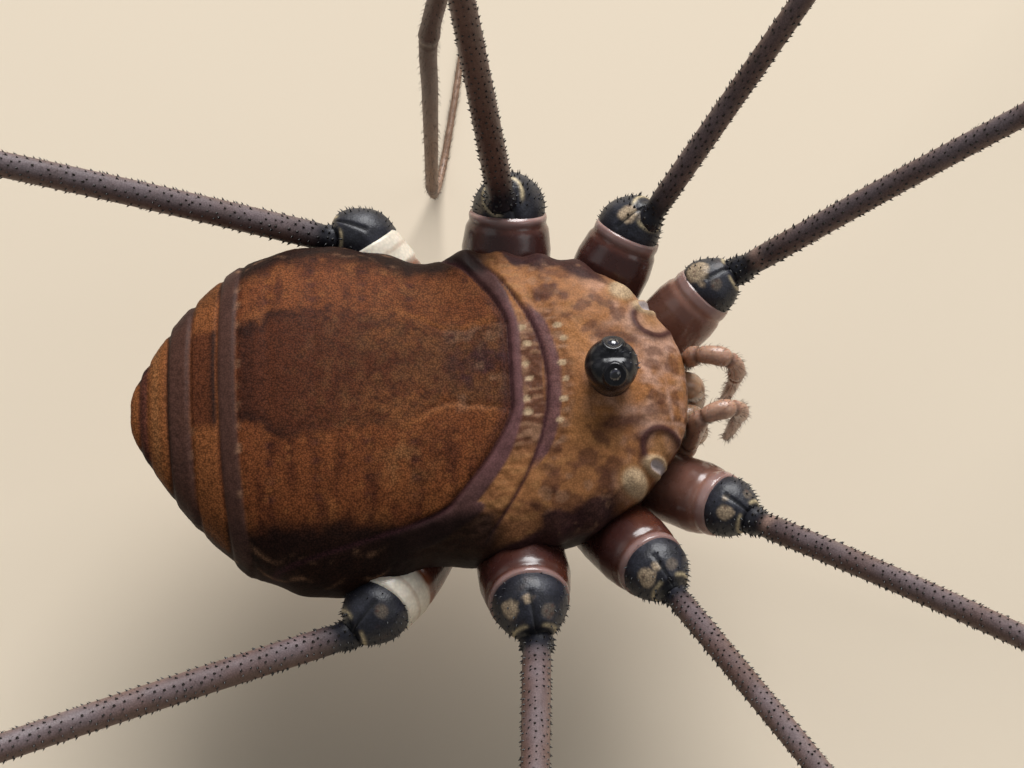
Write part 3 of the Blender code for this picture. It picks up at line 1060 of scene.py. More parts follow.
@dataclass
class Trunk:
    """Carapace, abdomen and tail rings as one leathery skin.

    Rows go from front to tail: place along Y, half width, top, widest level and underside.
    """

    rows: Array = field(default_factory=lambda: np.array((
        (-2.385, 0.0, 3.80, 3.79, 3.78),
        (-2.36, 0.30, 3.98, 3.80, 3.52),
        (-2.28, 0.66, 4.14, 3.82, 3.20),
        (-2.02, 1.06, 4.30, 3.84, 2.72),
        (-1.60, 1.52, 4.44, 3.86, 2.25),
        (-0.95, 1.94, 4.52, 3.85, 1.92),
        (-0.20, 2.10, 4.50, 3.80, 1.72),
        (0.55, 2.20, 4.48, 3.70, 1.62),
        (1.10, 2.12, 4.54, 3.50, 1.56),
        (1.75, 2.34, 4.65, 3.36, 1.50),
        (2.60, 2.46, 4.72, 3.44, 1.52),
        (3.35, 2.27, 4.68, 3.60, 1.78),
        (3.96, 1.88, 4.56, 3.75, 2.26),
        (4.52, 1.26, 4.38, 3.88, 2.92),
        (4.92, 0.68, 4.18, 3.93, 3.42),
        (5.12, 0.28, 4.04, 3.93, 3.75),
        (5.145, 0.0, 3.935, 3.93, 3.925),
    )))
    ring_count: int = 318
    side_count: int = 300
    squareness: float = 2.2
    roll_shift: float = 0.28

    def build(self, shop: Workshop) -> None:
        """Make the skin, its relief and its markings.

        Args:
            shop: takes the finished piece.
        """
        skin = Skin("trunk_skin", self.ring_count, self.side_count)
        metric = self.rows[:, [0, 1, 2]] * (1.0, 0.8, 0.8)
        places, _ = spread_rows(metric, self.ring_count)
        rings = along_rows(self.rows, places)
        rings[:, 1] = np.maximum(rings[:, 1], 0.0)
        along, half, top, level, bottom = rings[skin.row].T
        angle = skin.turn + 0.42 * np.cos(skin.turn)
        power = 2.0 / self.squareness
        across = np.sign(np.cos(angle)) * np.abs(np.cos(angle)) ** power
        upward = np.sign(np.sin(angle)) * np.abs(np.sin(angle)) ** power
        height = np.where(upward > 0.0, top - level, level - bottom)
        base = np.stack([half * across, along, level + height * upward], axis=1)
        skin.lay(base)
        skin.face_out()
        normals = skin.normals()
        self.read(base, upward, np.abs(across))
        skin.lay(base + normals * self.relief()[:, None])
        self.paint().put_on(skin.mesh)
        shop.hand_over("trunk_skin", skin.mesh, "leather", ("prosoma", "abdomen", "abdomen_tip"))

    def read(self, base: Array, upward: Array, share: Array) -> None:
        """Work out the places that relief and markings share.

        Args:
            base: the plain skin's points.
            upward: 1 along the back, 0 at the widest level and -1 under the belly.
            share: how near the outline each point is, 1 on it.
        """
        x, y, z = base.T
        self.share, self.upward = share, upward
        self.base, self.x, self.y, self.z = base, x, y, z
        self.mid = x - self.roll_shift * smooth(-0.85, 0.15, y)
        self.out = np.abs(self.mid)
        self.above = smooth(0.05, 0.45, upward)
        self.fine = grain(base, 0.09, 3)
        self.ragged = layered(base, 0.42, 5)
        self.wobble = 0.05 * self.ragged
        out = self.out + 0.3 * self.wobble
        bend, hook = np.maximum(out - 0.55, 0.0), np.maximum(out - 1.85, 0.0)
        slope = 0.87 * np.sqrt(bend) + 3.9 * np.sqrt(hook)
        behind = 0.02 + 0.58 * bend**1.5 + 2.6 * hook**1.5 - (y + 0.15 * self.wobble)
        self.arc = behind / np.sqrt(1.0 + slope**2)
        self.band = 0.16 + 0.08 * smooth(0.7, 1.4, out)
        self.crease = -0.46 + 0.22 * x * x - (y + 0.2 * self.wobble)
        self.fold = 0.185 * smooth(1.5, 0.8, np.abs(x)) + 0.02
        self.dots, _ = pebbles(base, 0.095, 2)
        self.fore = smooth(1.55, 1.20, y + 0.1 * self.wobble)
        self.prosoma = smooth(-0.02, 0.02, self.arc) * self.fore

    def relief(self) -> Array:
        """Grooves, rolls, pads and granules.

        Returns:
            How far the skin stands out at each place, in millimetres.
        """
        x, y, out, above = self.x, self.y, self.out, self.above
        side = np.abs(x)
        rise = -0.055 * bell(self.arc, 0.035) * above * (0.3 + 0.7 * self.fore)
        rise += 0.020 * within(self.arc, 0.02, self.band, 0.03) * above * self.fore
        rise -= 0.040 * bell(self.crease, 0.030) * above * smooth(2.1, 1.7, side)
        rise += 0.012 * bell(self.crease - 0.10, 0.06) * above
        rows = within(self.arc, self.band, 0.42, 0.02) + bell(self.crease - 0.30, 0.07)
        rise += 0.020 * rows * (self.dots - 0.4) * above
        # Tail rings, each a low roll with a groove before it
        for place_y, depth in ((3.66, 0.018), (3.93, 0.030), (4.30, 0.035), (4.62, 0.030),
                               (4.90, 0.022), (5.02, 0.018)):
            groove = bell(y - place_y + 0.02 * out * out, 0.030)
            rise -= depth * groove * smooth(-0.6, 0.2, self.upward)
        for low, high, lift in ((3.68, 3.92, 0.016), (4.32, 4.60, 0.018)):
            rise += lift * within(y + 0.02 * out * out, low, high, 0.06)
        for place_y in SEGMENT_GROOVES:
            rise -= 0.008 * bell(y - place_y + 0.4 * self.wobble, 0.08) * above
        # The near-square lobes in front of the saddle
        lobe = self.lobe_edge()
        rise -= 0.014 * bell(lobe, 0.04) * within(y, 0.0, 1.2, 0.15) * above
        # Eye mound, veins, ozopores and their lobes
        hill = np.hypot(x, y - HILL_Y)
        rise += 0.07 * bell(hill, 0.52) * above
        high = smooth(3.6, 3.9, self.z)
        for sign in (1.0, -1.0):
            pore = np.hypot((x - sign * PORE[0]) / PORE_SIZE[0], (y - PORE[1]) / PORE_SIZE[1])
            rise += (0.045 * bell(pore - 1.0, 0.45) - 0.05 * bell(pore, 0.7)) * high
            rise += 0.085 * bell(np.hypot(x - sign * LOBE[0], y - LOBE[1]), 0.15) * high
            brow = np.hypot(x - sign * BROW[0], y - BROW[1])
            rise += 0.035 * bell(brow - 0.27, 0.06) * above * smooth(-1.6, -1.75, y)
        rise += 0.030 * self.ragged * within(y, -2.3, 0.2, 0.2) * above * smooth(0.35, 0.55, hill)
        # Scalloped margins: one flange over the coxae, one row of pads down each flank
        rim = bell(self.z - 4.0, 0.22) * smooth(1.3, 1.7, side)
        wave = np.sin(2.0 * math.pi * (y + 0.1 + 0.3 * self.wobble) / SCALLOP_STEP)
        rise += 0.05 * rim * (0.3 + 0.7 * wave) * within(y, -1.4, 1.0, 0.2)
        pads = 0.5 + 0.5 * np.cos(2.0 * math.pi * (y - PAD_START) / PAD_STEP)
        rise += 0.045 * pads * bell(self.z - 3.35, 0.42) * smooth(1.5, 2.0, side) * within(
            y, 1.2, 4.4, 0.2)
        rise -= 0.05 * bell(self.z - 2.72, 0.10) * smooth(1.2, 1.8, side) * within(y, 1.2, 4.2, 0.2)
        # Genital plate and belly folds
        below = smooth(-0.5, -0.85, self.upward)
        plate = within(np.abs(x) - 0.05 * y, -1.0, 0.52, 0.03) * within(y, -1.7, 1.25, 0.05)
        rise += 0.05 * plate * below
        for place_y in BELLY_FOLDS:
            rise -= 0.035 * bell(y - place_y - 0.12 * x * x, 0.04) * below
        rough = 1.0 - within(self.arc, 0.0, self.band, 0.02) - within(y, 3.68, 3.92, 0.02)
        grains, _ = pebbles(self.base, 0.065, 9)
        rise += 0.006 * (grains - 0.5) * np.clip(rough, 0.0, 1.0)
        return rise

    def lobe_edge(self) -> Array:
        """Measure from the edge of the saddle, which is wide and narrow by turns.

        Returns:
            How far outside it each place lies, in millimetres.
        """
        knots = ((0.0, 0.62), (0.30, 0.60), (0.48, 0.54), (0.74, 0.49), (0.92, 0.52), (1.12, 0.62),
                 (1.42, 0.76), (1.95, 0.79), (2.40, 0.86), (2.95, 0.92), (3.18, 0.90), (3.30, 0.74),
                 (3.60, 0.71), (3.70, 0.68))
        where, width = zip(*knots)
        return self.out - np.interp(self.y, where, width) + 0.9 * self.wobble + 0.02 * self.fine

    def paint(self) -> Paint:
        """Lay the markings, in the order they lie over each other.

        Returns:
            The colours and gloss.
        """
        paint = Paint(len(self.x), INK.rust)
        self.paint_back(paint)
        self.paint_flanks(paint)
        self.paint_bands(paint)
        self.paint_carapace(paint)
        self.paint_front_bands(paint)
        paint.shade(1.0 + 0.10 * self.fine)
        return paint

    def paint_back(self, paint: Paint) -> None:
        """Rust with a dark saddle and its lobes.

        Args:
            paint: takes the coats of colour.
        """
        y, out = self.y, self.out
        blotchy = layered(self.base, 0.35, 21)
        paint.lay(INK.ember, 0.75 * smooth(0.0, 0.9, blotchy + 0.25 * smooth(1.6, 2.3, out)))
        stripes = layered(self.base * (0.45, 1.5, 1.0), 0.20, 24)
        paint.lay(INK.saddle, 0.80 * smooth(0.30, -0.55, stripes) * smooth(0.5, 1.2, out))
        edge = self.lobe_edge()
        torn = edge + 0.13 * layered(self.base, 0.13, 22)
        saddle = smooth(0.11, -0.09, torn) * smooth(3.68, 3.62, y)
        paint.lay(INK.saddle, 0.92 * saddle)
        # bronze flecks over the saddle, partly pigment, and more of them towards the front as
        # painted sheen
        flecks_and_front_sheen = smooth(-0.6, 0.6, layered(self.base, 0.11, 27) + 0.5 * smooth(2.6, 0.6, y) - 0.3)
        paint.lay(INK.bronze, 0.80 * saddle * flecks_and_front_sheen * smooth(3.4, 2.2, y))
        paint.lay(INK.pitch, 0.55 * bell(torn + 0.06, 0.09) * smooth(2.3, 3.3, y)
                  * smooth(3.68, 3.62, y))
        paint.lay(INK.pitch, 0.40 * saddle * bell(y - 3.52, 0.13))
        gold = bell(np.hypot((out - 0.62) / 0.38, (y - 1.45) / 0.60), 1.0)
        paint.lay(INK.ember, 0.75 * gold * smooth(-0.3, 0.6, layered(self.base, 0.13, 30)))
        rim = bell(edge - 0.045, 0.045) * within(y, 0.2, 1.5, 0.12)
        paint.lay(INK.ember, 0.9 * rim)
        middle = within(y, 0.0, 0.85, 0.15) * smooth(0.75, 0.45, out)
        paint.lay(INK.plum, 0.8 * middle * smooth(-0.1, 0.6, layered(self.base, 0.26, 28)))
        paint.lay(INK.tan, 0.5 * middle * smooth(0.1, 0.7, layered(self.base, 0.15, 29)))
        lobes = smooth(0.03, 0.12, edge) * within(y, -0.1, 1.7, 0.2)
        paint.lay(INK.ember, 0.35 * lobes * smooth(-0.2, 0.7, self.ragged))
        paint.lay(INK.ochre, 0.6 * bell(np.hypot(out - 1.35, y - 1.45), 0.30)
                  * smooth(-0.2, 0.6, layered(self.base, 0.16, 31)))
        # Dim bluish dots in rows, one row for each hidden segment
        for row_y in SEGMENT_LINES:
            beads = np.cos(2.0 * math.pi * (out - 0.1) / 0.235)
            row = bell(y - row_y, 0.055) * smooth(0.1, 0.7, beads) * within(out, 0.85, 1.95, 0.1)
            paint.lay(INK.plum, 0.55 * row)
        seg = np.minimum.reduce([np.abs(y - v) for v in SEGMENT_LINES])
        paint.lay(INK.saddle, 0.30 * bell(seg, 0.07) * smooth(0.8, 1.1, out))
        cells, tone = pebbles(self.base, 0.13, 14)
        paint.lay(INK.ember, 0.5 * smooth(0.55, 0.9, cells) * smooth(0.6, 0.85, tone)
                  * smooth(0.0, 0.1, edge))

    def paint_flanks(self, paint: Paint) -> None:
        """Dark sides with cream dashes over a pale belly.

        Args:
            paint: takes the coats of colour.
        """
        x, y, z, out = self.x, self.y, self.z, self.out
        # The dark reaches higher on the left flank than on the right: painted shade, one side
        # darker than the other
        low = smooth(0.66, 0.40, self.upward + 0.08 * self.ragged - 0.10 * np.sign(self.mid))
        frayed = 0.10 * self.ragged + 0.08 * layered(self.base, 0.15, 42)
        outer = smooth(1.90, 2.22, out + frayed + 0.22 * smooth(3.2, 4.6, y))
        dark = np.maximum(low, outer * smooth(0.95, 0.8, self.upward)) * smooth(0.3, 0.9, y)
        paint.lay(INK.pitch, 0.94 * dark)
        side = np.abs(x)
        broken = smooth(-0.10, 0.50, layered(self.base, 0.22, 45))
        for row_z, lift, width in ((4.06, 0.06, 0.035), (3.72, 0.11, 0.040)):
            curve = row_z + lift * np.cos(2.0 * math.pi * (y - PAD_START) / PAD_STEP)
            dash = bell(z - curve + 0.05 * self.ragged, width) * broken
            paint.lay(INK.tan, 0.60 * dash * dark * within(y, 1.5, 4.3, 0.1)
                      * smooth(1.3, 1.7, side))
        pale = smooth(2.95, 2.70, z + 0.06 * self.ragged) * smooth(1.0, 1.35, y)
        paint.lay(INK.belly, pale)
        below = smooth(-0.1, -0.5, self.upward)
        paint.lay(INK.belly, below)
        paint.lay(INK.umber, 0.55 * below * smooth(0.1, 0.6, layered(self.base, 0.3, 41)))
        for place_y in BELLY_FOLDS:
            paint.lay(INK.umber, 0.6 * bell(y - place_y - 0.12 * x * x, 0.06)
                      * smooth(-0.5, -0.85, self.upward))

    def paint_bands(self, paint: Paint) -> None:
        """Grey rolls, rust panels and cream dashes towards the tail.

        Args:
            paint: takes the coats of colour.
        """
        y = self.y + 0.02 * self.out**2 + 0.25 * self.wobble
        out, top = self.out, smooth(-0.1, 0.35, self.upward)
        paint.lay(INK.slate, 0.92 * within(y, 3.67, 3.92, 0.025) * top, 0.45)
        centre = smooth(0.78, 0.60, out + 0.5 * self.wobble)
        panel = within(y, 3.95, 4.29, 0.02) * top
        paint.lay(INK.ember, 0.55 * panel)
        paint.lay(INK.saddle, 0.85 * panel * centre)
        paint.lay(INK.pitch, 0.8 * panel * centre * bell(y - 3.97, 0.05))
        paint.lay(INK.slate, 0.90 * within(y, 4.30, 4.62, 0.03) * top, 0.40)
        paint.lay(INK.pitch, 0.55 * bell(y - 4.60, 0.035) * top)
        paint.lay(INK.ember, 0.75 * within(y, 4.64, 4.90, 0.03) * top)
        paint.lay(INK.ochre, 0.35 * bell(y - 4.78, 0.06) * top)
        paint.lay(INK.plum, 0.65 * within(y, 4.91, 5.02, 0.03) * top)
        paint.lay(INK.ember, 0.8 * smooth(5.02, 5.06, y))
        beads = np.cos(2.0 * math.pi * (self.mid + 0.15) / 0.29 + 1.5 * self.ragged)
        dash = bell(self.y - 3.64 - 0.015 * self.fine, 0.035) * smooth(-0.25, 0.35, beads)
        patchy = smooth(-0.5, 0.5, layered(self.base, 0.2, 47))
        paint.lay(INK.tan, 0.65 * dash * patchy * within(out, -1.0, 1.75, 0.1) * top)
        second = bell(self.y - 4.27, 0.03) * smooth(0.1, 0.6, beads) * within(out, 0.6, 1.3, 0.1)
        paint.lay(INK.tan, 0.4 * second * patchy * top)

    def paint_carapace(self, paint: Paint) -> None:
        """Orange tan with purple-brown mottling, veins and pale pores.

        Args:
            paint: takes the coats of colour.
        """
        x, y, z = self.x, self.y, self.z
        side = np.abs(x)
        front = self.prosoma
        shell = front * smooth(-0.15, 0.3, self.upward)
        paint.lay(INK.amber, shell, 0.5)
        blotchy = layered(self.base, 0.30, 51, 4) - 0.25 * bell(side - 0.6, 0.5)
        paint.lay(INK.umber, 0.8 * shell * smooth(-0.10, 0.45, blotchy))
        paint.lay(INK.ochre, 0.65 * shell * smooth(0.15, 0.8, layered(self.base, 0.24, 55, 4)))
        rough = 0.75 * layered(self.base, 0.17, 58)
        clear = Blot(0.52, -0.92, 0.36, 0.30, 20).mask(side, y, 0.25 * rough)
        paint.lay((0.36, 0.155, 0.055), 0.85 * clear, 0.4)
        skirt = bell(np.hypot(x, y - HILL_Y) - 0.42, 0.16)
        paint.lay((0.34, 0.14, 0.050), 0.7 * shell * skirt, 0.4)
        pink = smooth(-0.25, 0.5, layered(self.base, 0.34, 59)) * smooth(-0.7, -1.6, y)
        paint.lay(INK.vein, 0.65 * shell * pink, 0.6)
        smear = bell(side - 0.62 - 0.25 * (y + 1.45), 0.13) * within(y, -1.75, -1.1, 0.1)
        paint.lay(INK.umber, 0.7 * shell * smear * smooth(-0.7, 0.2, rough))
        for blot in (Blot(0.60, -1.42, 0.07, 0.26, -8), Blot(0.79, -1.10, 0.06, 0.13, 40),
                     Blot(1.18, -1.25, 0.09, 0.22, -25), Blot(1.30, -0.48, 0.14, 0.18, 0),
                     Blot(1.08, -1.00, 0.10, 0.16, 30), Blot(0.95, -0.42, 0.10, 0.14, 0),
                     Blot(1.62, -0.72, 0.12, 0.24, 10), Blot(0.98, -1.48, 0.10, 0.09, 0)):
            paint.lay(INK.umber, 0.62 * shell * blot.mask(side, y, 1.5 * rough))
        for blot in (Blot(1.52, -0.34, 0.07, 0.07), Blot(1.55, -0.58, 0.07, 0.06),
                     Blot(1.76, -0.38, 0.05, 0.05), Blot(1.72, -0.92, 0.10, 0.07),
                     Blot(1.60, -1.10, 0.06, 0.06), Blot(1.82, 0.46, 0.08, 0.07),
                     Blot(1.30, -0.68, 0.05, 0.06), Blot(1.42, -0.92, 0.05, 0.05)):
            paint.lay(INK.tan, 0.50 * shell * blot.mask(side, y, 1.6 * rough))
        # Forehead: a pale vein from the eyes to the margin with dark fields beside it
        fore = smooth(-1.60, -1.72, y) * shell
        for blot in (Blot(0.22, -1.93, 0.10, 0.12, 10), Blot(0.42, -1.95, 0.09, 0.16, 0),
                     Blot(0.24, -2.17, 0.11, 0.08, 0), Blot(0.52, -2.16, 0.07, 0.09, 0)):
            paint.lay(INK.umber, 0.55 * fore * blot.mask(side, y, 1.6 * rough))
        vein = bell(side - 0.035 - 0.05 * smooth(-1.7, -2.2, y), 0.035)
        vein = np.maximum(vein, bell(y + 2.06 + 0.10 * side, 0.03) * smooth(0.62, 0.5, side))
        vein = np.maximum(vein, bell(side - 0.60 - 0.10 * (y + 1.9), 0.03))
        paint.lay(INK.vein, 0.5 * fore * vein * smooth(-0.5, 0.4, self.ragged))
        # Brow, pore and lobe
        brow = np.hypot(side - BROW[0], (y - BROW[1]) * 1.05)
        arch = bell(brow - 0.27, 0.055) * smooth(1.15, 0.98, side) * smooth(-1.5, -1.62, y)
        paint.lay(INK.plum, 0.95 * shell * np.clip(1.3 * arch, 0, 1))
        paint.lay(INK.ochre, 0.8 * shell * bell(brow, 0.17))
        high = smooth(3.55, 3.8, z)
        pore = np.hypot((side - PORE[0]) / PORE_SIZE[0], (y - PORE[1]) / PORE_SIZE[1])
        paint.lay(INK.cream, 0.85 * high * bell(pore - 1.15, 0.35))
        paint.lay((0.42, 0.36, 0.35), high * smooth(0.95, 0.7, pore), 0.8)
        lobe = np.hypot(side - LOBE[0], y - LOBE[1])
        paint.lay(INK.ochre, 0.8 * high * bell(lobe - 0.17, 0.06))
        paint.lay(INK.cream, 0.9 * high * smooth(0.21, 0.12, lobe), 0.35)
        # Dark scalloped margin
        scallop = 0.02 * np.sin(2.0 * math.pi * (y + 0.1) / SCALLOP_STEP)
        edge = smooth(0.80, 0.87, self.share + scallop + 0.045 * self.ragged + 0.03 * rough)
        margin = edge * front * smooth(-1.55, -1.20, y)
        paint.lay((0.030, 0.012, 0.014), 0.92 * margin, 0.3)
        specks = edge * front * smooth(0.25, 0.6, layered(self.base, 0.20, 57))
        specks = specks * smooth(-1.5, -1.2, y)
        paint.lay(INK.tan, 0.55 * specks * smooth(0.1, 0.4, self.upward))
        paint.lay(INK.pitch, 0.7 * smooth(3.95, 3.75, z) * front * smooth(-2.1, -1.5, y))
        paint.lay(INK.amber, 0.6 * smooth(3.30, 2.9, z) * front)

    def paint_front_bands(self, paint: Paint) -> None:
        """Smooth mauve bands and rows of pale granules behind the carapace.

        Args:
            paint: takes the coats of colour.
        """
        x, side = self.x, np.abs(self.x)
        top = smooth(-0.3, 0.3, self.upward)
        row = within(self.arc, self.band - 0.01, 0.44 + 0.1 * smooth(0.8, 1.5, side), 0.02)
        row = row * top * self.fore
        middle = smooth(1.15, 0.75, side)
        paint.lay(INK.umber, 0.85 * row * middle)
        paint.lay(INK.amber, 0.6 * row * (1.0 - middle))
        ticks = grain(self.base * (3.2, 1.0, 1.0), 0.17, 37)
        seeds = smooth(-0.05, 0.45, ticks)
        paint.lay(INK.tan, 0.8 * row * seeds * middle)
        paint.lay(INK.ochre, 0.6 * row * (1.0 - middle) * smooth(0.0, 0.5, ticks))
        cream_specks = np.zeros(len(x))
        for spot in ((0.80, -0.17), (0.56, -0.24), (0.27, -0.20), (0.05, -0.22), (-0.24, -0.18),
                     (-0.42, -0.19), (0.80, -0.65), (0.61, -0.72), (0.24, -0.68), (0.01, -0.72),
                     (-0.27, -0.68), (-0.55, -0.62)):
            patch = Blot(*spot, 0.045, 0.055).mask(x, self.y, 0.35 * self.fine)
            cream_specks = np.maximum(cream_specks, patch)
        fold = within(self.crease, 0.0, self.fold, 0.02) * top * smooth(1.25, 1.0, side)
        paint.lay(INK.mauve, 0.9 * fold, 0.45)
        paint.lay(INK.plum, 0.9 * bell(self.crease - 0.01, 0.03) * top * smooth(2.2, 1.9, side))
        last = bell(self.crease - 0.29, 0.075) * top * smooth(1.2, 0.9, side)
        paint.lay(INK.umber, 0.5 * last)
        paint.lay(INK.tan, 0.85 * last * seeds)
        paint.lay(INK.cream, 0.8 * cream_specks * top)
        band = within(self.arc, 0.015, self.band, 0.02) * top * self.fore
        paint.lay(INK.mauve, 0.95 * band, 0.55)
        paint.lay(INK.slate, 0.6 * band * smooth(1.0, 1.5, side))
        lobe = smooth(-0.02, 0.02, self.arc) * smooth(1.60, 1.78, side + 0.06 * self.ragged)
        paint.lay(INK.pitch, 0.92 * lobe * within(self.y, 0.25, 1.80, 0.15), 0.35)
        paint.lay(INK.plum, 0.95 * bell(self.arc - 0.005, 0.028) * top)
        paint.lay(INK.plum, 0.55 * bell(self.arc + 0.06, 0.06) * top * smooth(1.3, 0.8, self.out))


# --- head ---


@dataclass
class Head:
    """The eye hill with its two eyes, the jaws and the palps."""

    hill_y: float = HILL_Y
    profile: Array = field(default_factory=lambda: np.array((
        (0.0, 4.36), (0.20, 4.37), (0.30, 4.40), (0.285, 4.50), (0.285, 4.60), (0.315, 4.76),
        (0.352, 4.94), (0.345, 5.08), (0.285, 5.20), (0.17, 5.275), (0.0, 5.30))))
    eye_level: float = 4.97
    eye_out: float = 0.262
    eye_rise: float = math.radians(47.0)
    eye_radius: float = 0.118
    rim_radius: float = 0.138
    palp_line: tuple[Point, ...] = (
        (0.66, -2.20, 2.84), (0.62, -2.36, 3.20), (0.56, -2.44, 3.52), (0.50, -2.47, 3.76),
        (0.455, -2.53, 3.98), (0.405, -2.72, 4.10), (0.36, -2.93, 4.06), (0.32, -3.06, 3.88),
        (0.29, -3.09, 3.60), (0.27, -3.07, 3.28), (0.27, -3.03, 2.92), (0.27, -2.97, 2.52))
    palp_widths: tuple[tuple[float, float], ...] = (
        (0.0, 0.17), (0.3, 0.165), (0.55, 0.135), (0.9, 0.165), (1.05, 0.14), (1.25, 0.165),
        (1.45, 0.13), (1.7, 0.15), (1.9, 0.105), (2.3, 0.095), (2.62, 0.06))
    jaw_line: tuple[Point, ...] = (
        (0.24, -2.10, 3.42), (0.24, -2.28, 3.44), (0.24, -2.42, 3.40), (0.24, -2.50, 3.26),
        (0.24, -2.53, 3.06), (0.24, -2.51, 2.76), (0.235, -2.46, 2.46), (0.22, -2.41, 2.20))
    jaw_widths: tuple[tuple[float, float], ...] = (
        (0.0, 0.16), (0.25, 0.19), (0.36, 0.17), (0.42, 0.15), (0.6, 0.205), (0.8, 0.16),
        (0.9, 0.09), (1.0, 0.05))

    def eye_middle(self, side: Side) -> Array:
        """The middle of an eye."""
        return np.array((side.value * math.cos(self.eye_rise) * self.eye_out, self.hill_y - 0.02,
                         self.eye_level + math.sin(self.eye_rise) * self.eye_out))

    def build(self, shop: Workshop) -> None:
        """Make every piece of the head.

        Args:
            shop: takes the finished pieces.
        """
        self.build_hill(shop)
        for side in Side:
            self.build_eye(shop, side)
            self.build_palp(shop, side)
            self.build_jaw(shop, side)

    def build_hill(self, shop: Workshop) -> None:
        """The black dome, with a raised ring round each eye and denticles along its ridges.

        Args:
            shop: takes the finished pieces.
        """
        skin = Skin("eye_hill", 96, 96)
        places, _ = spread_rows(self.profile, 96)
        radius, height = along_rows(self.profile, places)[skin.row].T
        radius = np.maximum(radius, 0.0)
        x, y = radius * np.cos(skin.turn), radius * np.sin(skin.turn)
        points = np.stack([x, y + self.hill_y, height], axis=1)
        skin.lay(points)
        skin.face_out()
        normals = skin.normals()
        rise = 0.003 * layered(points, 0.12, 61) * smooth(4.45, 4.6, height)
        rise -= 0.022 * bell(x, 0.05) * smooth(5.0, 5.2, height)
        shine = np.full(len(points), 0.45)
        for side in Side:
            away = np.linalg.norm(points - self.eye_middle(side), axis=1)
            rise += 0.030 * bell(away - self.rim_radius - 0.012, 0.020)
            shine += 0.5 * bell(away - self.rim_radius, 0.05)
        skin.lay(points + normals * rise[:, None])
        paint = Paint(len(points), INK.eye)
        paint.lay((0.022, 0.021, 0.026), 0.6 * smooth(0.0, 0.8, layered(points, 0.07, 63)))
        paint.lay(INK.umber, smooth(4.60, 4.48, height))
        paint.shine = np.clip(shine, 0, 1)
        paint.put_on(skin.mesh)
        shop.hand_over("eye_hill", skin.mesh, "hill", ("ocularium",))
        coat = Coat("eye_hill_denticles", SPINE)
        for side in Side:
            count = 6
            t = np.linspace(0.0, 1.0, count)
            at = np.stack([np.full(count, side.value * 0.066), self.hill_y + 0.15 - 0.46 * t,
                           5.285 - 0.9 * (t - 0.42) ** 2 * 0.46], axis=1)
            out = unit(at - (0.0, self.hill_y, self.eye_level))
            coat.plant(at - out * 0.012, out, np.tile((0.0, -1.0, 0.0), (count, 1)),
                       np.full(count, 0.050), np.full(count, 0.017),
                       np.stack([0.1 + 0.1 * t, np.full(count, 0.5 + 0.2 * side.value)], axis=1))
        at = np.array([(0.03, self.hill_y - 0.365, 4.93), (-0.07, self.hill_y - 0.36, 5.02)])
        out = unit(at - (0.0, self.hill_y, self.eye_level))
        coat.plant(at - out * 0.01, out, np.tile((0.0, 0.0, 1.0), (2, 1)), np.full(2, 0.04),
                   np.full(2, 0.016), np.array([(0.4, 0.5), (0.45, 0.5)]))
        coat.hand_over(shop, (0.030, 0.030, 0.042), 0.5, "bristle")

    def build_eye(self, shop: Workshop, side: Side) -> None:
        """A wet black eye with faint rings, set deep in its socket.

        Args:
            shop: takes the finished pieces.
            side: which side of the body.
        """
        skin = Skin(f"{side.word}_eye", 40, 48)
        middle = self.eye_middle(side)
        out = unit(middle + (0.0, -0.02, 0.0) - (0.0, self.hill_y, self.eye_level))
        lift = Vector((0.0, 0.0, 1.0)).rotation_difference(Vector(out)).to_matrix()
        ball = skin.points @ np.array(lift).T
        polar = skin.row / skin.rows * math.pi
        size = self.eye_radius * (1.0 + 0.02 * np.cos(polar))
        skin.lay(middle + ball * size[:, None])
        skin.face_out()
        paint = Paint(len(ball), (0.004, 0.004, 0.006), 1.0)
        ring = np.degrees(polar)
        paint.lay((0.040, 0.040, 0.058), 0.8 * bell(ring - 38.0, 6.0))
        paint.lay((0.026, 0.022, 0.028), 0.7 * bell(ring - 62.0, 8.0))
        paint.put_on(skin.mesh)
        shop.hand_over(f"{side.word}_eye", skin.mesh, "eye", (f"eye_{side.word}",))

    def build_palp(self, shop: Workshop, side: Side) -> None:
        """A waxy palp of five short segments that arches forwards, with hairs.

        Args:
            shop: takes the finished pieces.
            side: which side of the body.
        """
        line = np.array([side.mirror(point) for point in self.palp_line])
        name = f"{side.word}_palp"
        tube = Tube(name, line, 150, 32, up=(0.0, -1.0, 0.0))
        where, wide = zip(*self.palp_widths)
        joints = np.array((0.42, 1.02, 1.36, 1.78)) * tube.length / where[-1]
        gone = tube.gone
        radius = np.interp(gone / tube.length * where[-1], where, wide)
        near = np.min(np.abs(gone[:, None] - joints[None]), axis=1)
        radius = 0.84 * radius * (1.0 - 0.22 * bell(near, 0.03)) * tube.ends(radius, 1.0, 1.6)
        radius *= 1.0 + 0.03 * layered(tube.middles[tube.skin.row], 0.2, 71)
        points = tube.wrap(radius)
        paint = Paint(len(points), (0.42, 0.24, 0.16), 0.3)
        paint.lay(INK.vein, 0.6 * smooth(0.0, 0.8, layered(points, 0.2, 73)))
        paint.lay(INK.umber, 0.65 * bell(near, 0.035))
        paint.lay(INK.umber, 0.45 * smooth(0.2, 0.8, layered(points, 0.12, 75)))
        paint.lay(INK.umber, 0.5 * smooth(tube.length - 0.5, tube.length, gone))
        paint.put_on(tube.skin.mesh)
        shop.hand_over(name, tube.skin.mesh, "palp", (f"pedipalp_{side.word}",))
        self.hair_tube(shop, tube, points, f"{name}_hairs", 0.55, 380, 0.085)

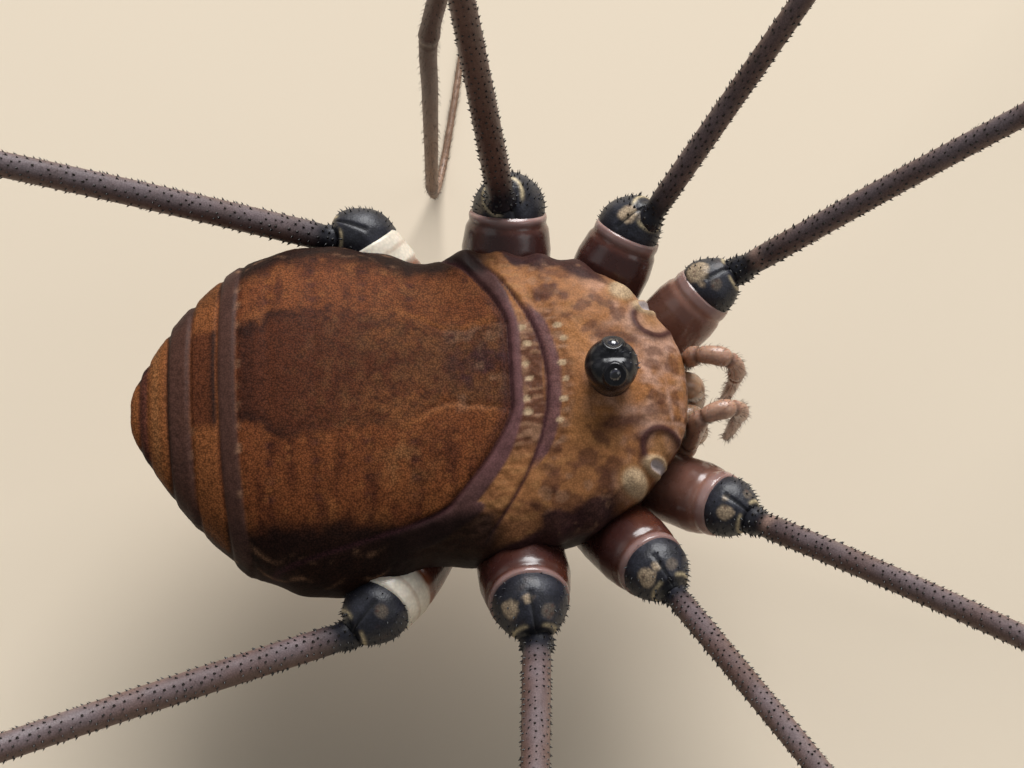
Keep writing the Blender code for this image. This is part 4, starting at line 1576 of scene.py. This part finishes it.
    def hair_tube(self, shop: Workshop, tube: Tube, points: Array, name: str, start: float,
                  count: int, length: float) -> None:
        """Fine hairs over the outer part of a palp or jaw.

        Args:
            shop: takes the finished pieces.
            tube: the palp or jaw.
            points: the points of its skin.
            name: the hairs' name.
            start: how far along it they start.
            count: how many there are.
            length: how long they are.
        """
        rng = np.random.default_rng(len(name) + count)
        able = np.flatnonzero((tube.gone > start) & (tube.gone < tube.length - 0.02))
        picked = rng.choice(able, count, replace=False)
        row, turn = tube.skin.row[picked], tube.skin.turn[picked]
        out = tube.spokes()[picked]
        lie = tube.ahead[row]
        coat = Coat(name, HAIR)
        slope = unit(out + 0.5 * lie)
        spot = np.stack([0.02 + 0.95 * row / tube.rows, 0.5 + 0.47 * turn / math.pi], axis=1)
        coat.plant(points[picked], slope, lie, length * rng.uniform(0.6, 1.1, count),
                   rng.uniform(0.0035, 0.005, count), spot)
        coat.hand_over(shop, (0.16, 0.090, 0.060), 0.3, "hair")

    def build_jaw(self, shop: Workshop, side: Side) -> None:
        """A jaw of two segments that bends down to a dark tip.

        Args:
            shop: takes the finished pieces.
            side: which side of the body.
        """
        line = np.array([side.mirror(point) for point in self.jaw_line])
        name = f"{side.word}_jaw"
        tube = Tube(name, line, 90, 28, up=(0.0, 0.0, 1.0))
        t = tube.gone / tube.length
        radius = np.interp(t, *zip(*self.jaw_widths))
        radius = radius * tube.ends(radius, 0.6, 1.0)
        points = tube.wrap(radius)
        paint = Paint(len(points), (0.46, 0.28, 0.17), 0.5)
        paint.lay(INK.umber, 0.5 * smooth(0.0, 0.7, layered(points, 0.18, 81)))
        paint.lay(INK.umber, 0.6 * bell(t - 0.40, 0.03))
        paint.lay(INK.pitch, smooth(0.84, 0.95, t), 0.8)
        paint.put_on(tube.skin.mesh)
        shop.hand_over(name, tube.skin.mesh, "palp", (f"chelicera_{side.word}",))
        self.hair_tube(shop, tube, points, f"{name}_hairs", 0.4, 90, 0.10)


# --- legs ---


class Patch(Enum):
    """Kinds of pale patch on a trochanter: its colour's strength and its half width."""

    BIG = (0.92, 0.32)
    SMALL = (0.80, 0.15)
    FAINT = (0.22, 0.22)
    WIDE = (0.90, 0.46)


COXA_TONES = {1: (0.27, 0.130, 0.092), 2: (0.090, 0.027, 0.015), 3: (0.080, 0.024, 0.014),
              4: (0.24, 0.072, 0.025)}
HIP_PATCHES = {
    (Side.RIGHT, 3): (((-0.22, 0.62, 0.75), Patch.BIG), ((0.0, 0.10, 1.0), Patch.SMALL),
                      ((-0.30, -0.50, 0.80), Patch.FAINT)),
    (Side.RIGHT, 2): (((-0.46, 0.42, 0.78), Patch.BIG), ((-0.08, 0.10, 1.0), Patch.SMALL),
                      ((-0.02, -0.42, 0.90), Patch.FAINT)),
    (Side.RIGHT, 1): (((-0.42, 0.30, 0.84), Patch.BIG), ((0.10, 0.23, 0.97), Patch.SMALL),
                      ((0.25, -0.55, 0.80), Patch.FAINT)),
    (Side.RIGHT, 4): (((-0.45, 0.80, 0.20), Patch.SMALL), ((-0.20, -0.30, 0.90), Patch.FAINT)),
    (Side.LEFT, 1): (((0.23, 0.55, 0.80), Patch.WIDE), ((-0.30, 0.42, 0.84), Patch.SMALL),
                     ((-0.35, -0.05, 0.90), Patch.FAINT)),
    (Side.LEFT, 2): (((0.0, 0.20, 0.98), Patch.BIG), ((-0.10, -0.27, 0.94), Patch.FAINT)),
    (Side.LEFT, 3): (((-0.25, 0.84, 0.46), Patch.FAINT), ((-0.45, 0.14, 0.85), Patch.FAINT)),
    (Side.LEFT, 4): (((0.45, 0.80, 0.20), Patch.SMALL),),
}


@dataclass
class HipJoint:
    """The coxa and the trochanter of one leg."""

    leg: LegLine
    denticle_tries: int = 240
    denticle_gap: float = 0.072

    def build(self, shop: Workshop) -> None:
        """Make both segments and the denticles round them."""
        self.build_coxa(shop)
        self.build_trochanter(shop)

    def build_coxa(self, shop: Workshop) -> None:
        """A glossy bulb, with a painted highlight along the top of its rim.

        Args:
            shop: takes the finished pieces.
        """
        leg = self.leg
        way = unit(leg.hip - leg.root)
        rim = leg.hip - way * 0.16
        line = np.array([leg.root + (rim - leg.root) * t for t in (0.0, 0.35, 0.7, 1.0)]
                        + [rim + way * 0.03])
        name = f"coxa{leg.number}_{leg.side.word}"
        tube = Tube(name, line, 90, 56)
        left = tube.length - tube.gone
        t = tube.gone / tube.length
        size = leg.sizes.coxa
        radius = size * np.interp(t, (0.0, 0.35, 0.62, 0.80, 0.93, 1.0),
                                  (0.80, 0.94, 1.05, 1.07, 0.98, 0.90))
        radius -= 0.05 * size * bell(left - leg.sizes.rim - 0.03, 0.05)
        radius *= tube.ends(radius, 0.5, 0.14)
        spokes = tube.spokes()
        middles = tube.middles[tube.skin.row]
        wave = layered(middles + spokes * size, 0.5, 100 + leg.number)
        radius *= 1.0 + 0.018 * wave
        points = tube.wrap(radius)
        high = spokes[:, 2]
        paint = Paint(len(points), COXA_TONES[leg.number], 0.75)
        dark = smooth(-0.25, 0.45, high) * within(left, leg.sizes.rim + 0.06, 1.15, 0.10)
        deep = 0.55 if leg.number == 1 else 0.9
        paint.lay((0.045, 0.015, 0.013), deep * dark * smooth(-0.5, 0.3, wave + 0.3))
        paint.lay(INK.pitch, 0.6 * smooth(0.95, 1.3, left))
        if leg.number == 4:
            plate = smooth(leg.sizes.rim + 0.05, leg.sizes.rim - 0.08, left + 0.05 * wave)
            facing = unit(leg.side.mirror((0.05, -0.75, 0.65)))
            plate = plate * smooth(0.05, 0.45, spokes @ facing)
            paint.lay((0.74, 0.66, 0.54), plate, 0.3)
            paint.lay(INK.amber, 0.6 * bell(left - 0.5 * leg.sizes.rim, 0.018) * plate)
        else:
            # painted highlight: a pale pink band on the upper side of the rim
            pale = smooth(leg.sizes.rim + 0.04, leg.sizes.rim - 0.06, left)
            paint.lay((0.27, 0.17, 0.155), 0.8 * pale * smooth(-0.4, 0.5, high), 0.9)
        paint.lay(INK.pitch, 0.9 * smooth(0.035, 0.01, left))
        paint.put_on(tube.skin.mesh)
        shop.hand_over(name, tube.skin.mesh, "shell")

    def build_trochanter(self, shop: Workshop) -> None:
        """A blue-black knob with cream patches, a slit over the femur and serrated edges.

        Args:
            shop: takes the finished pieces.
        """
        leg = self.leg
        length, width = leg.sizes.trochanter
        axis = leg.hip_axis
        up = unit(np.array((0.0, 0.0, 1.0)) - axis * axis[2])
        across = np.cross(axis, up)
        name = f"hip{leg.number}_{leg.side.word}"
        skin = Skin(name, 72, 72)
        polar = skin.row / skin.rows * math.pi
        along = -np.cos(polar)
        belly = np.sin(polar) ** (0.68 - 0.16 * smooth(0.2, -0.4, along))
        spoke = np.cos(skin.turn)[:, None] * up + np.sin(skin.turn)[:, None] * across
        taper = 1.0 + 0.03 * bell(along + 0.35, 0.3) - 0.22 * smooth(-0.1, 1.0, along)
        shape = 0.5 * width * belly * taper * (1.0 + 0.04 * np.abs(np.sin(skin.turn)))
        points = leg.hip + axis * (0.5 * length * along)[:, None] + spoke * shape[:, None]
        skin.lay(points)
        skin.face_out()
        normals = skin.normals()
        way = unit(points - leg.hip)
        thigh = heading(leg.side, leg.stance.sweep, leg.stance.rise)
        femur = unit(leg.base - leg.hip + 0.15 * thigh)
        slit = bell(np.sin(skin.turn), 0.055) * (np.cos(skin.turn) > 0)
        slit = slit * within(along, 0.05, 0.95, 0.08)
        near = np.degrees(np.arccos(np.clip(way @ femur, -1.0, 1.0)))
        collar = bell(near - 38.0, 3.6)
        rise = 0.010 * layered(points, 0.16, 110 + leg.number) - 0.035 * slit
        rise += 0.018 * bell(along + 0.80, 0.08) - 0.03 * bell(near - 25.0, 8.0)
        skin.lay(points + normals * rise[:, None])
        paint = Paint(len(points), INK.ink, 0.1)
        # painted sheen: bluish grey on the faces that look up
        paint.lay((0.036, 0.038, 0.056), 0.5 * smooth(0.15, 0.85, normals[:, 2])
                  * smooth(-0.6, 0.5, layered(points, 0.18, 113)))
        paint.lay(INK.umber, 0.30 * smooth(0.3, 0.9, layered(points, 0.2, 117)))
        ragged = layered(points, 0.15, 119)
        specks, _ = pebbles(points, 0.10, 4)
        for spot, patch in HIP_PATCHES[leg.side, leg.number]:
            strength, size = patch.value
            away = np.linalg.norm(way - unit(np.array(spot)), axis=1) + 0.10 * ragged
            mask = smooth(size + 0.04, size - 0.08, away)
            paint.lay((0.50, 0.375, 0.245), strength * mask, 0.0)
            paint.lay(INK.umber, 0.7 * mask * smooth(0.80, 0.95, specks))
        cheek = smooth(0.30, 0.60, np.abs(np.sin(skin.turn))) * smooth(-0.9, -0.3, normals[:, 2])
        paint.lay((0.56, 0.45, 0.27), 0.95 * collar * cheek)
        paint.lay(INK.eye, 0.9 * slit)
        paint.lay(INK.eye, 0.9 * smooth(30.0, 24.0, near))
        paint.put_on(skin.mesh)
        shop.hand_over(name, skin.mesh, "hip", (f"{leg.name}_trochanter",))
        self.plant_serration(shop, skin, points, normals, along, near, axis)

    def plant_serration(self, shop: Workshop, skin: Skin, points: Array, normals: Array,
                        along: Array, near: Array, axis: Array) -> None:
        """Short black denticles, thickest on the front and rear edges.

        Args:
            shop: takes the finished pieces.
            skin: the trochanter's skin.
            points: its points.
            normals: which way it faces there.
            along: places from its base, -1, to its tip, 1.
            near: angles from the femur, in degrees.
            axis: the way the trochanter points.
        """
        leg = self.leg
        rng = np.random.default_rng(500 + 10 * leg.number + int(leg.side.value))
        edge = np.abs(np.sin(skin.turn))
        chance = 0.05 + 0.95 * smooth(0.55, 0.95, edge) + 0.5 * smooth(0.0, -0.4, np.cos(skin.turn))
        chance *= within(along, -0.75, 0.93, 0.1) * smooth(28.0, 36.0, near) * np.sin(
            skin.row / skin.rows * math.pi)
        picked = rng.choice(len(points), self.denticle_tries, replace=False,
                            p=chance / chance.sum())
        kept: list[int] = []
        for k in picked:
            if all(np.linalg.norm(points[k] - points[j]) > self.denticle_gap for j in kept):
                kept.append(int(k))
        at, out = points[kept], normals[kept]
        coat = Coat(f"hip{leg.number}_{leg.side.word}_denticles", SPINE)
        big = 1.1 + 0.35 * smooth(0.35, 0.8, along[kept])
        spot = np.stack([0.05 + 0.9 * skin.row[kept] / skin.rows,
                         0.5 + 0.45 * skin.turn[kept] / math.pi], axis=1)
        coat.plant(at - out * 0.004, out, np.tile(axis, (len(kept), 1)),
                   0.042 * big * rng.uniform(0.8, 1.2, len(kept)),
                   0.014 * big ** 0.5 * rng.uniform(0.8, 1.1, len(kept)), spot)
        coat.hand_over(shop, INK.eye, 0.4, "bristle")


@dataclass
class LongLeg:
    """Femur to claw of one leg as one skin, with its denticles, hairs and claw."""

    leg: LegLine
    sides: int = 20
    rows_per_mm: float = 15.0
    tarsus_rows_per_mm: float = 20.0
    denticle_rows: int = 13
    tube: Tube = field(init=False)
    joints: Array = field(init=False)
    points: Array = field(init=False)

    def build(self, shop: Workshop) -> None:
        """Make the skin and all that grows on it.

        Args:
            shop: takes the finished pieces.
        """
        leg = self.leg
        runs = leg.runs()
        thigh = unit(runs[0][1] - runs[0][0])
        knots = [runs[0][0] - thigh * 0.08, runs[0][0]]
        marks: list[int] = []
        for run in runs:
            knots += run[1:]
            marks.append(len(knots) - 1)
        line = np.array(knots)
        weight = np.full(len(line), 1.0)
        weight[: marks[0] + 1] = 1.3
        weight[marks[3]:] = 3.0
        reach = float(np.sum(np.linalg.norm(np.diff(line, axis=0), axis=1)))
        rows = int(reach * self.rows_per_mm + leg.sizes.lengths[4] * self.tarsus_rows_per_mm)
        tube = Tube(f"{leg.name}_skin", line, rows, self.sides, weight=weight)
        fine = np.linspace(0.0, len(line) - 1, 120 * len(line))
        path = along_rows(line, fine)
        gone = np.concatenate([[0.0], np.cumsum(np.linalg.norm(np.diff(path, axis=0), axis=1))])
        self.joints = np.interp(marks, fine, gone)
        self.tube = tube
        radius = self.radius(tube.gone)
        self.points = tube.wrap(radius * tube.ends(radius, 0.6, 1.0))
        self.points[:, 2] = np.maximum(self.points[:, 2], 0.0)
        tube.skin.lay(self.points)
        self.paint().put_on(tube.skin.mesh)
        nodes = [f"{leg.name}_{part}" for part in ("femur", "patella", "tibia", "metatarsus",
                                                   "tarsus")]
        shop.hand_over(f"{leg.name}_skin", tube.skin.mesh, "leg", nodes)
        self.plant_denticles(shop)
        self.plant_hairs(shop)
        self.build_claw(shop)

    def radius(self, gone: Array) -> Array:
        """The leg's radius.

        Args:
            gone: places along the leg.

        Returns:
            The radius at each place.
        """
        collar, thigh, knee = self.leg.sizes.widths
        hip, patella, tibia, metatarsus, _ = self.joints
        end = self.tube.length
        knots = ((0.0, collar * 0.80), (0.10, collar), (0.27, collar * 1.04), (0.37, thigh * 0.93),
                 (0.60, thigh), (hip - 0.6, thigh * 0.86), (hip - 0.12, thigh * 0.98),
                 (hip, thigh * 0.90), (hip + 0.15, knee * 0.90), (patella - 0.25, knee * 1.05),
                 (patella, knee * 0.88), (patella + 0.2, knee * 0.78), (tibia - 0.4, knee * 0.64),
                 (tibia - 0.05, knee * 0.74), (tibia + 0.15, knee * 0.62),
                 (metatarsus - 0.3, knee * 0.46), (metatarsus, knee * 0.50),
                 (metatarsus + 0.12, 0.072), (metatarsus + 0.8, 0.062), (end, 0.036))
        where, wide = zip(*knots)
        radius = np.interp(gone, where, wide)
        near = np.min(np.abs(gone[:, None] - self.joints[None, :4]), axis=1)
        radius = radius * (1.0 - 0.26 * bell(near, 0.035))
        beads = np.abs(np.sin(math.pi * (gone - metatarsus) / 0.17)) ** 0.7
        return radius * (1.0 - 0.10 * (1.0 - beads) * (gone > metatarsus + 0.3))

    def paint(self) -> Paint:
        """Mauve brown with a painted grey sheen on top, darker at the base and at each joint.

        Returns:
            The colours and gloss.
        """
        gone = self.tube.gone
        spokes = self.tube.spokes()
        cloudy = layered(self.points, 0.5, 131)
        _, _, tibia, metatarsus, _ = self.joints
        paint = Paint(len(gone), INK.thigh, 0.1)
        # painted reflected light: a warmer red laid on the faces that look down, as if lit from the
        # floor
        paint.lay((0.17, 0.072, 0.048), 0.7 * smooth(0.2, -0.7, spokes[:, 2]))
        # painted sheen: pale bluish grey laid over the upper side of the leg
        paint.lay(INK.bloom, 0.75 * smooth(0.25, 0.95, spokes[:, 2] + 0.25 * cloudy))
        paint.lay((0.26, 0.155, 0.10), smooth(tibia, metatarsus, gone))
        streak = grain(np.stack([self.points[:, 0] * 0.2, self.tube.skin.turn * 2.0,
                                 gone * 0.5], axis=1), 0.3, 133)
        paint.shade(1.0 + 0.10 * streak + 0.12 * cloudy)
        near = np.min(np.abs(gone[:, None] - self.joints[None, :4]), axis=1)
        paint.lay(INK.umber, 0.75 * bell(near, 0.18))
        paint.lay(INK.bone, 0.45 * bell(near, 0.022))
        paint.lay(INK.ink, 0.6 * smooth(1.1, 0.5, gone + 0.1 * cloudy))
        paint.lay(INK.ink, smooth(0.66, 0.48, gone + 0.05 * cloudy), 0.2)
        if self.leg.number == 1:
            paint.lay(INK.vein, 0.5 * bell(gone - 0.62, 0.10) * smooth(-0.2, 0.8, spokes[:, 2]))
        return paint

    def ring_points(self, gone: Array, turn: Array) -> tuple[Array, Array, Array]:
        """Find places on the skin.

        Args:
            gone: how far along the leg they are.
            turn: their angles round it.

        Returns:
            The places, which way the skin faces there and which way the leg runs.
        """
        tube = self.tube
        row = np.interp(gone, tube.row_gone, np.arange(tube.rows + 1))
        low = np.clip(row.astype(int), 0, tube.rows - 1)
        part = (row - low)[:, None]
        middle, ahead, top, side = (
            values[low] + (values[low + 1] - values[low]) * part
            for values in (tube.middles, tube.ahead, tube.tops, tube.across))
        out = unit(np.cos(turn)[:, None] * top + np.sin(turn)[:, None] * side)
        return middle + out * self.radius(gone)[:, None], out, unit(ahead)

    def spots(self, gone: Array, turn: Array) -> Array:
        """Where roots lie on the unwrapped leg."""
        wrapped = (turn + math.pi) % (2.0 * math.pi) / (2.0 * math.pi)
        return np.stack([0.01 + 0.97 * gone / self.tube.length, 0.01 + 0.97 * wrapped], axis=1)

    def plant_denticles(self, shop: Workshop) -> None:
        """Rows of small black denticles along the femur, patella and tibia.

        Args:
            shop: takes the finished pieces.
        """
        leg = self.leg
        rng = np.random.default_rng(700 + 10 * leg.number + int(leg.side.value))
        coat = Coat(f"{leg.name}_denticles", SPINE)
        hip, patella, tibia, *_ = self.joints
        stretches = ((0.12, 0.42, 0.085, 1.05), (0.50, hip - 0.05, 0.155, 1.0),
                     (hip + 0.10, patella - 0.1, 0.17, 0.95),
                     (patella + 0.15, tibia - 0.1, 0.24, 0.62))
        for k in range(self.denticle_rows):
            for start, end, step, size in stretches:
                gone = np.arange(start + step * ((k * 0.37) % 1.0), end, step)
                gone = gone + rng.normal(0.0, 0.16 * step, len(gone))
                gone = gone[rng.random(len(gone)) < 0.93]
                turn = 2.0 * math.pi * k / self.denticle_rows + rng.normal(0.0, 0.07, len(gone))
                at, out, ahead = self.ring_points(gone, turn)
                small = size * rng.uniform(0.8, 1.2, len(gone)) * np.interp(
                    gone, (0.0, 2.0, hip), (1.0, 0.9, 0.75))
                coat.plant(at - out * 0.003, unit(out + 0.25 * ahead), ahead, 0.048 * small,
                           0.020 * small, self.spots(gone, turn))
        coat.hand_over(shop, (0.010, 0.008, 0.008), 0.4, "bristle")

    def plant_hairs(self, shop: Workshop) -> None:
        """Fine hairs, sparse on the femur and dense down to the foot.

        Args:
            shop: takes the finished pieces.
        """
        leg = self.leg
        rng = np.random.default_rng(900 + 10 * leg.number + int(leg.side.value))
        hip, patella, tibia, metatarsus, _ = self.joints
        end = self.tube.length - 0.03
        coat = Coat(f"{leg.name}_hairs", HAIR)
        for start, stop, dense, length, width in (
                (0.6, hip, 26, 0.060, 0.0034), (hip, patella, 34, 0.075, 0.0036),
                (patella, tibia, 60, 0.085, 0.0036), (tibia, metatarsus, 80, 0.090, 0.0036),
                (metatarsus, end, 130, 0.075, 0.0032)):
            count = int(dense * (stop - start))
            gone = rng.uniform(start, stop, count)
            turn = rng.uniform(0.0, 2.0 * math.pi, count)
            at, out, ahead = self.ring_points(gone, turn)
            coat.plant(at - out * 0.002, unit(out + 0.9 * ahead), ahead,
                       length * rng.uniform(0.6, 1.2, count), np.full(count, width),
                       self.spots(gone, turn))
        coat.hand_over(shop, (0.085, 0.050, 0.036), 0.3, "hair")

    def build_claw(self, shop: Workshop) -> None:
        """A small hooked claw at the tip of the tarsus.

        Args:
            shop: takes the finished pieces.
        """
        leg, tube = self.leg, self.tube
        way = unit(tube.middles[-1] - tube.middles[-6])
        way[2] = 0.0
        way = unit(way)
        tip = tube.middles[-1] - way * 0.10
        hook = ((0.0, 0.0), (0.05, 0.012), (0.085, 0.005), (0.105, -0.018), (0.108, -0.036))
        line = np.array([tip + way * ahead + (0.0, 0.0, rise) for ahead, rise in hook])
        line[:, 2] = np.maximum(line[:, 2], 0.012)
        claw = Tube(f"{leg.name}_claw", line, 16, 10)
        radius = np.interp(claw.gone / claw.length, (0.0, 0.4, 1.0), (0.022, 0.018, 0.006))
        claw.wrap(radius * claw.ends(radius, 0.5, 1.0))
        Paint(len(claw.gone), (0.05, 0.022, 0.014), 0.7).put_on(claw.skin.mesh)
        shop.hand_over(f"{leg.name}_claw", claw.skin.mesh, "bristle")


# --- studio ---


@dataclass
class Studio:
    """The floor, the lights and the camera, which looks down on the animal's right side."""

    elevation: float = 70.0
    azimuth: float = 267.0
    distance: float = 35.0
    aim: Point = (0.0, 0.0, 4.45)
    lens: float = 92.285

    def build(self) -> None:
        """Set everything up."""
        self.build_floor()
        self.build_lights()
        self.build_camera()

    def build_floor(self) -> None:
        """A plain pale floor."""
        form = bmesh.new()
        bmesh.ops.create_grid(form, x_segments=1, y_segments=1, size=1.5)
        mesh = bpy.data.meshes.new("floor")
        form.to_mesh(mesh)
        form.free()
        material = bpy.data.materials.new("plain_floor")
        material.use_nodes = True
        shader = material.node_tree.nodes["Principled BSDF"]
        shader.inputs["Base Color"].default_value = (0.63, 0.54, 0.42, 1.0)
        shader.inputs["Roughness"].default_value = 0.9
        mesh.materials.append(material)
        floor = bpy.data.objects.new("floor", mesh)
        bpy.context.scene.collection.objects.link(floor)

    def build_lights(self) -> None:
        """One broad soft light from the animal's left, a weaker one in front, and a pale sky."""
        for name, spot, size, power in (("window", (0.24, -0.07, 0.18), 0.20, 1.70),
                                        ("front", (-0.06, -0.24, 0.20), 0.16, 0.10),
                                        ("back", (0.05, 0.24, 0.22), 0.20, 0.06)):
            light = bpy.data.lights.new(name, "AREA")
            light.size = size
            light.energy = power
            item = bpy.data.objects.new(name, light)
            item.location = Vector(spot)
            item.rotation_euler = (Vector((0.003, -0.002, 0.004)) - Vector(spot)).to_track_quat(
                "-Z", "Y").to_euler()
            bpy.context.scene.collection.objects.link(item)
        world = bpy.data.worlds.new("sky")
        world.use_nodes = True
        sky = world.node_tree.nodes["Background"]
        sky.inputs["Color"].default_value = (0.95, 0.97, 1.0, 1.0)
        sky.inputs["Strength"].default_value = 0.21
        bpy.context.scene.world = world
        bpy.context.scene.view_settings.view_transform = "Standard"

    def build_camera(self) -> None:
        """The camera at the photograph's angle and framing."""
        rise, turn = math.radians(self.elevation), math.radians(self.azimuth)
        level = Vector((-math.sin(turn), math.cos(turn), 0.0))
        right = Vector((math.cos(turn), math.sin(turn), 0.0))
        back = -level * math.cos(rise) + Vector((0.0, 0.0, math.sin(rise)))
        top = level * math.sin(rise) + Vector((0.0, 0.0, math.cos(rise)))
        camera = bpy.data.cameras.new("camera")
        camera.sensor_width = 36.0
        camera.lens = self.lens
        camera.clip_start = 0.001
        item = bpy.data.objects.new("camera", camera)
        spot = Vector(place(np.array(self.aim))) + back * self.distance * MM
        matrix = item.matrix_world.copy()
        for column, axis in enumerate((right, top, back, spot)):
            for row in range(3):
                matrix[row][column] = axis[row]
        item.matrix_world = matrix
        bpy.context.scene.collection.objects.link(item)
        bpy.context.scene.camera = item


def main() -> None:
    """Build the animal and its studio."""
    logging.basicConfig(level=logging.INFO, format="%(message)s")
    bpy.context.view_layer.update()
    shop = Workshop()
    Trunk().build(shop)
    Head().build(shop)
    for side in Side:
        for number in LEGS:
            leg = LegLine(side, number)
            HipJoint(leg).build(shop)
            LongLeg(leg).build(shop)
    Studio().build()


if __name__ == "__main__":
    main()
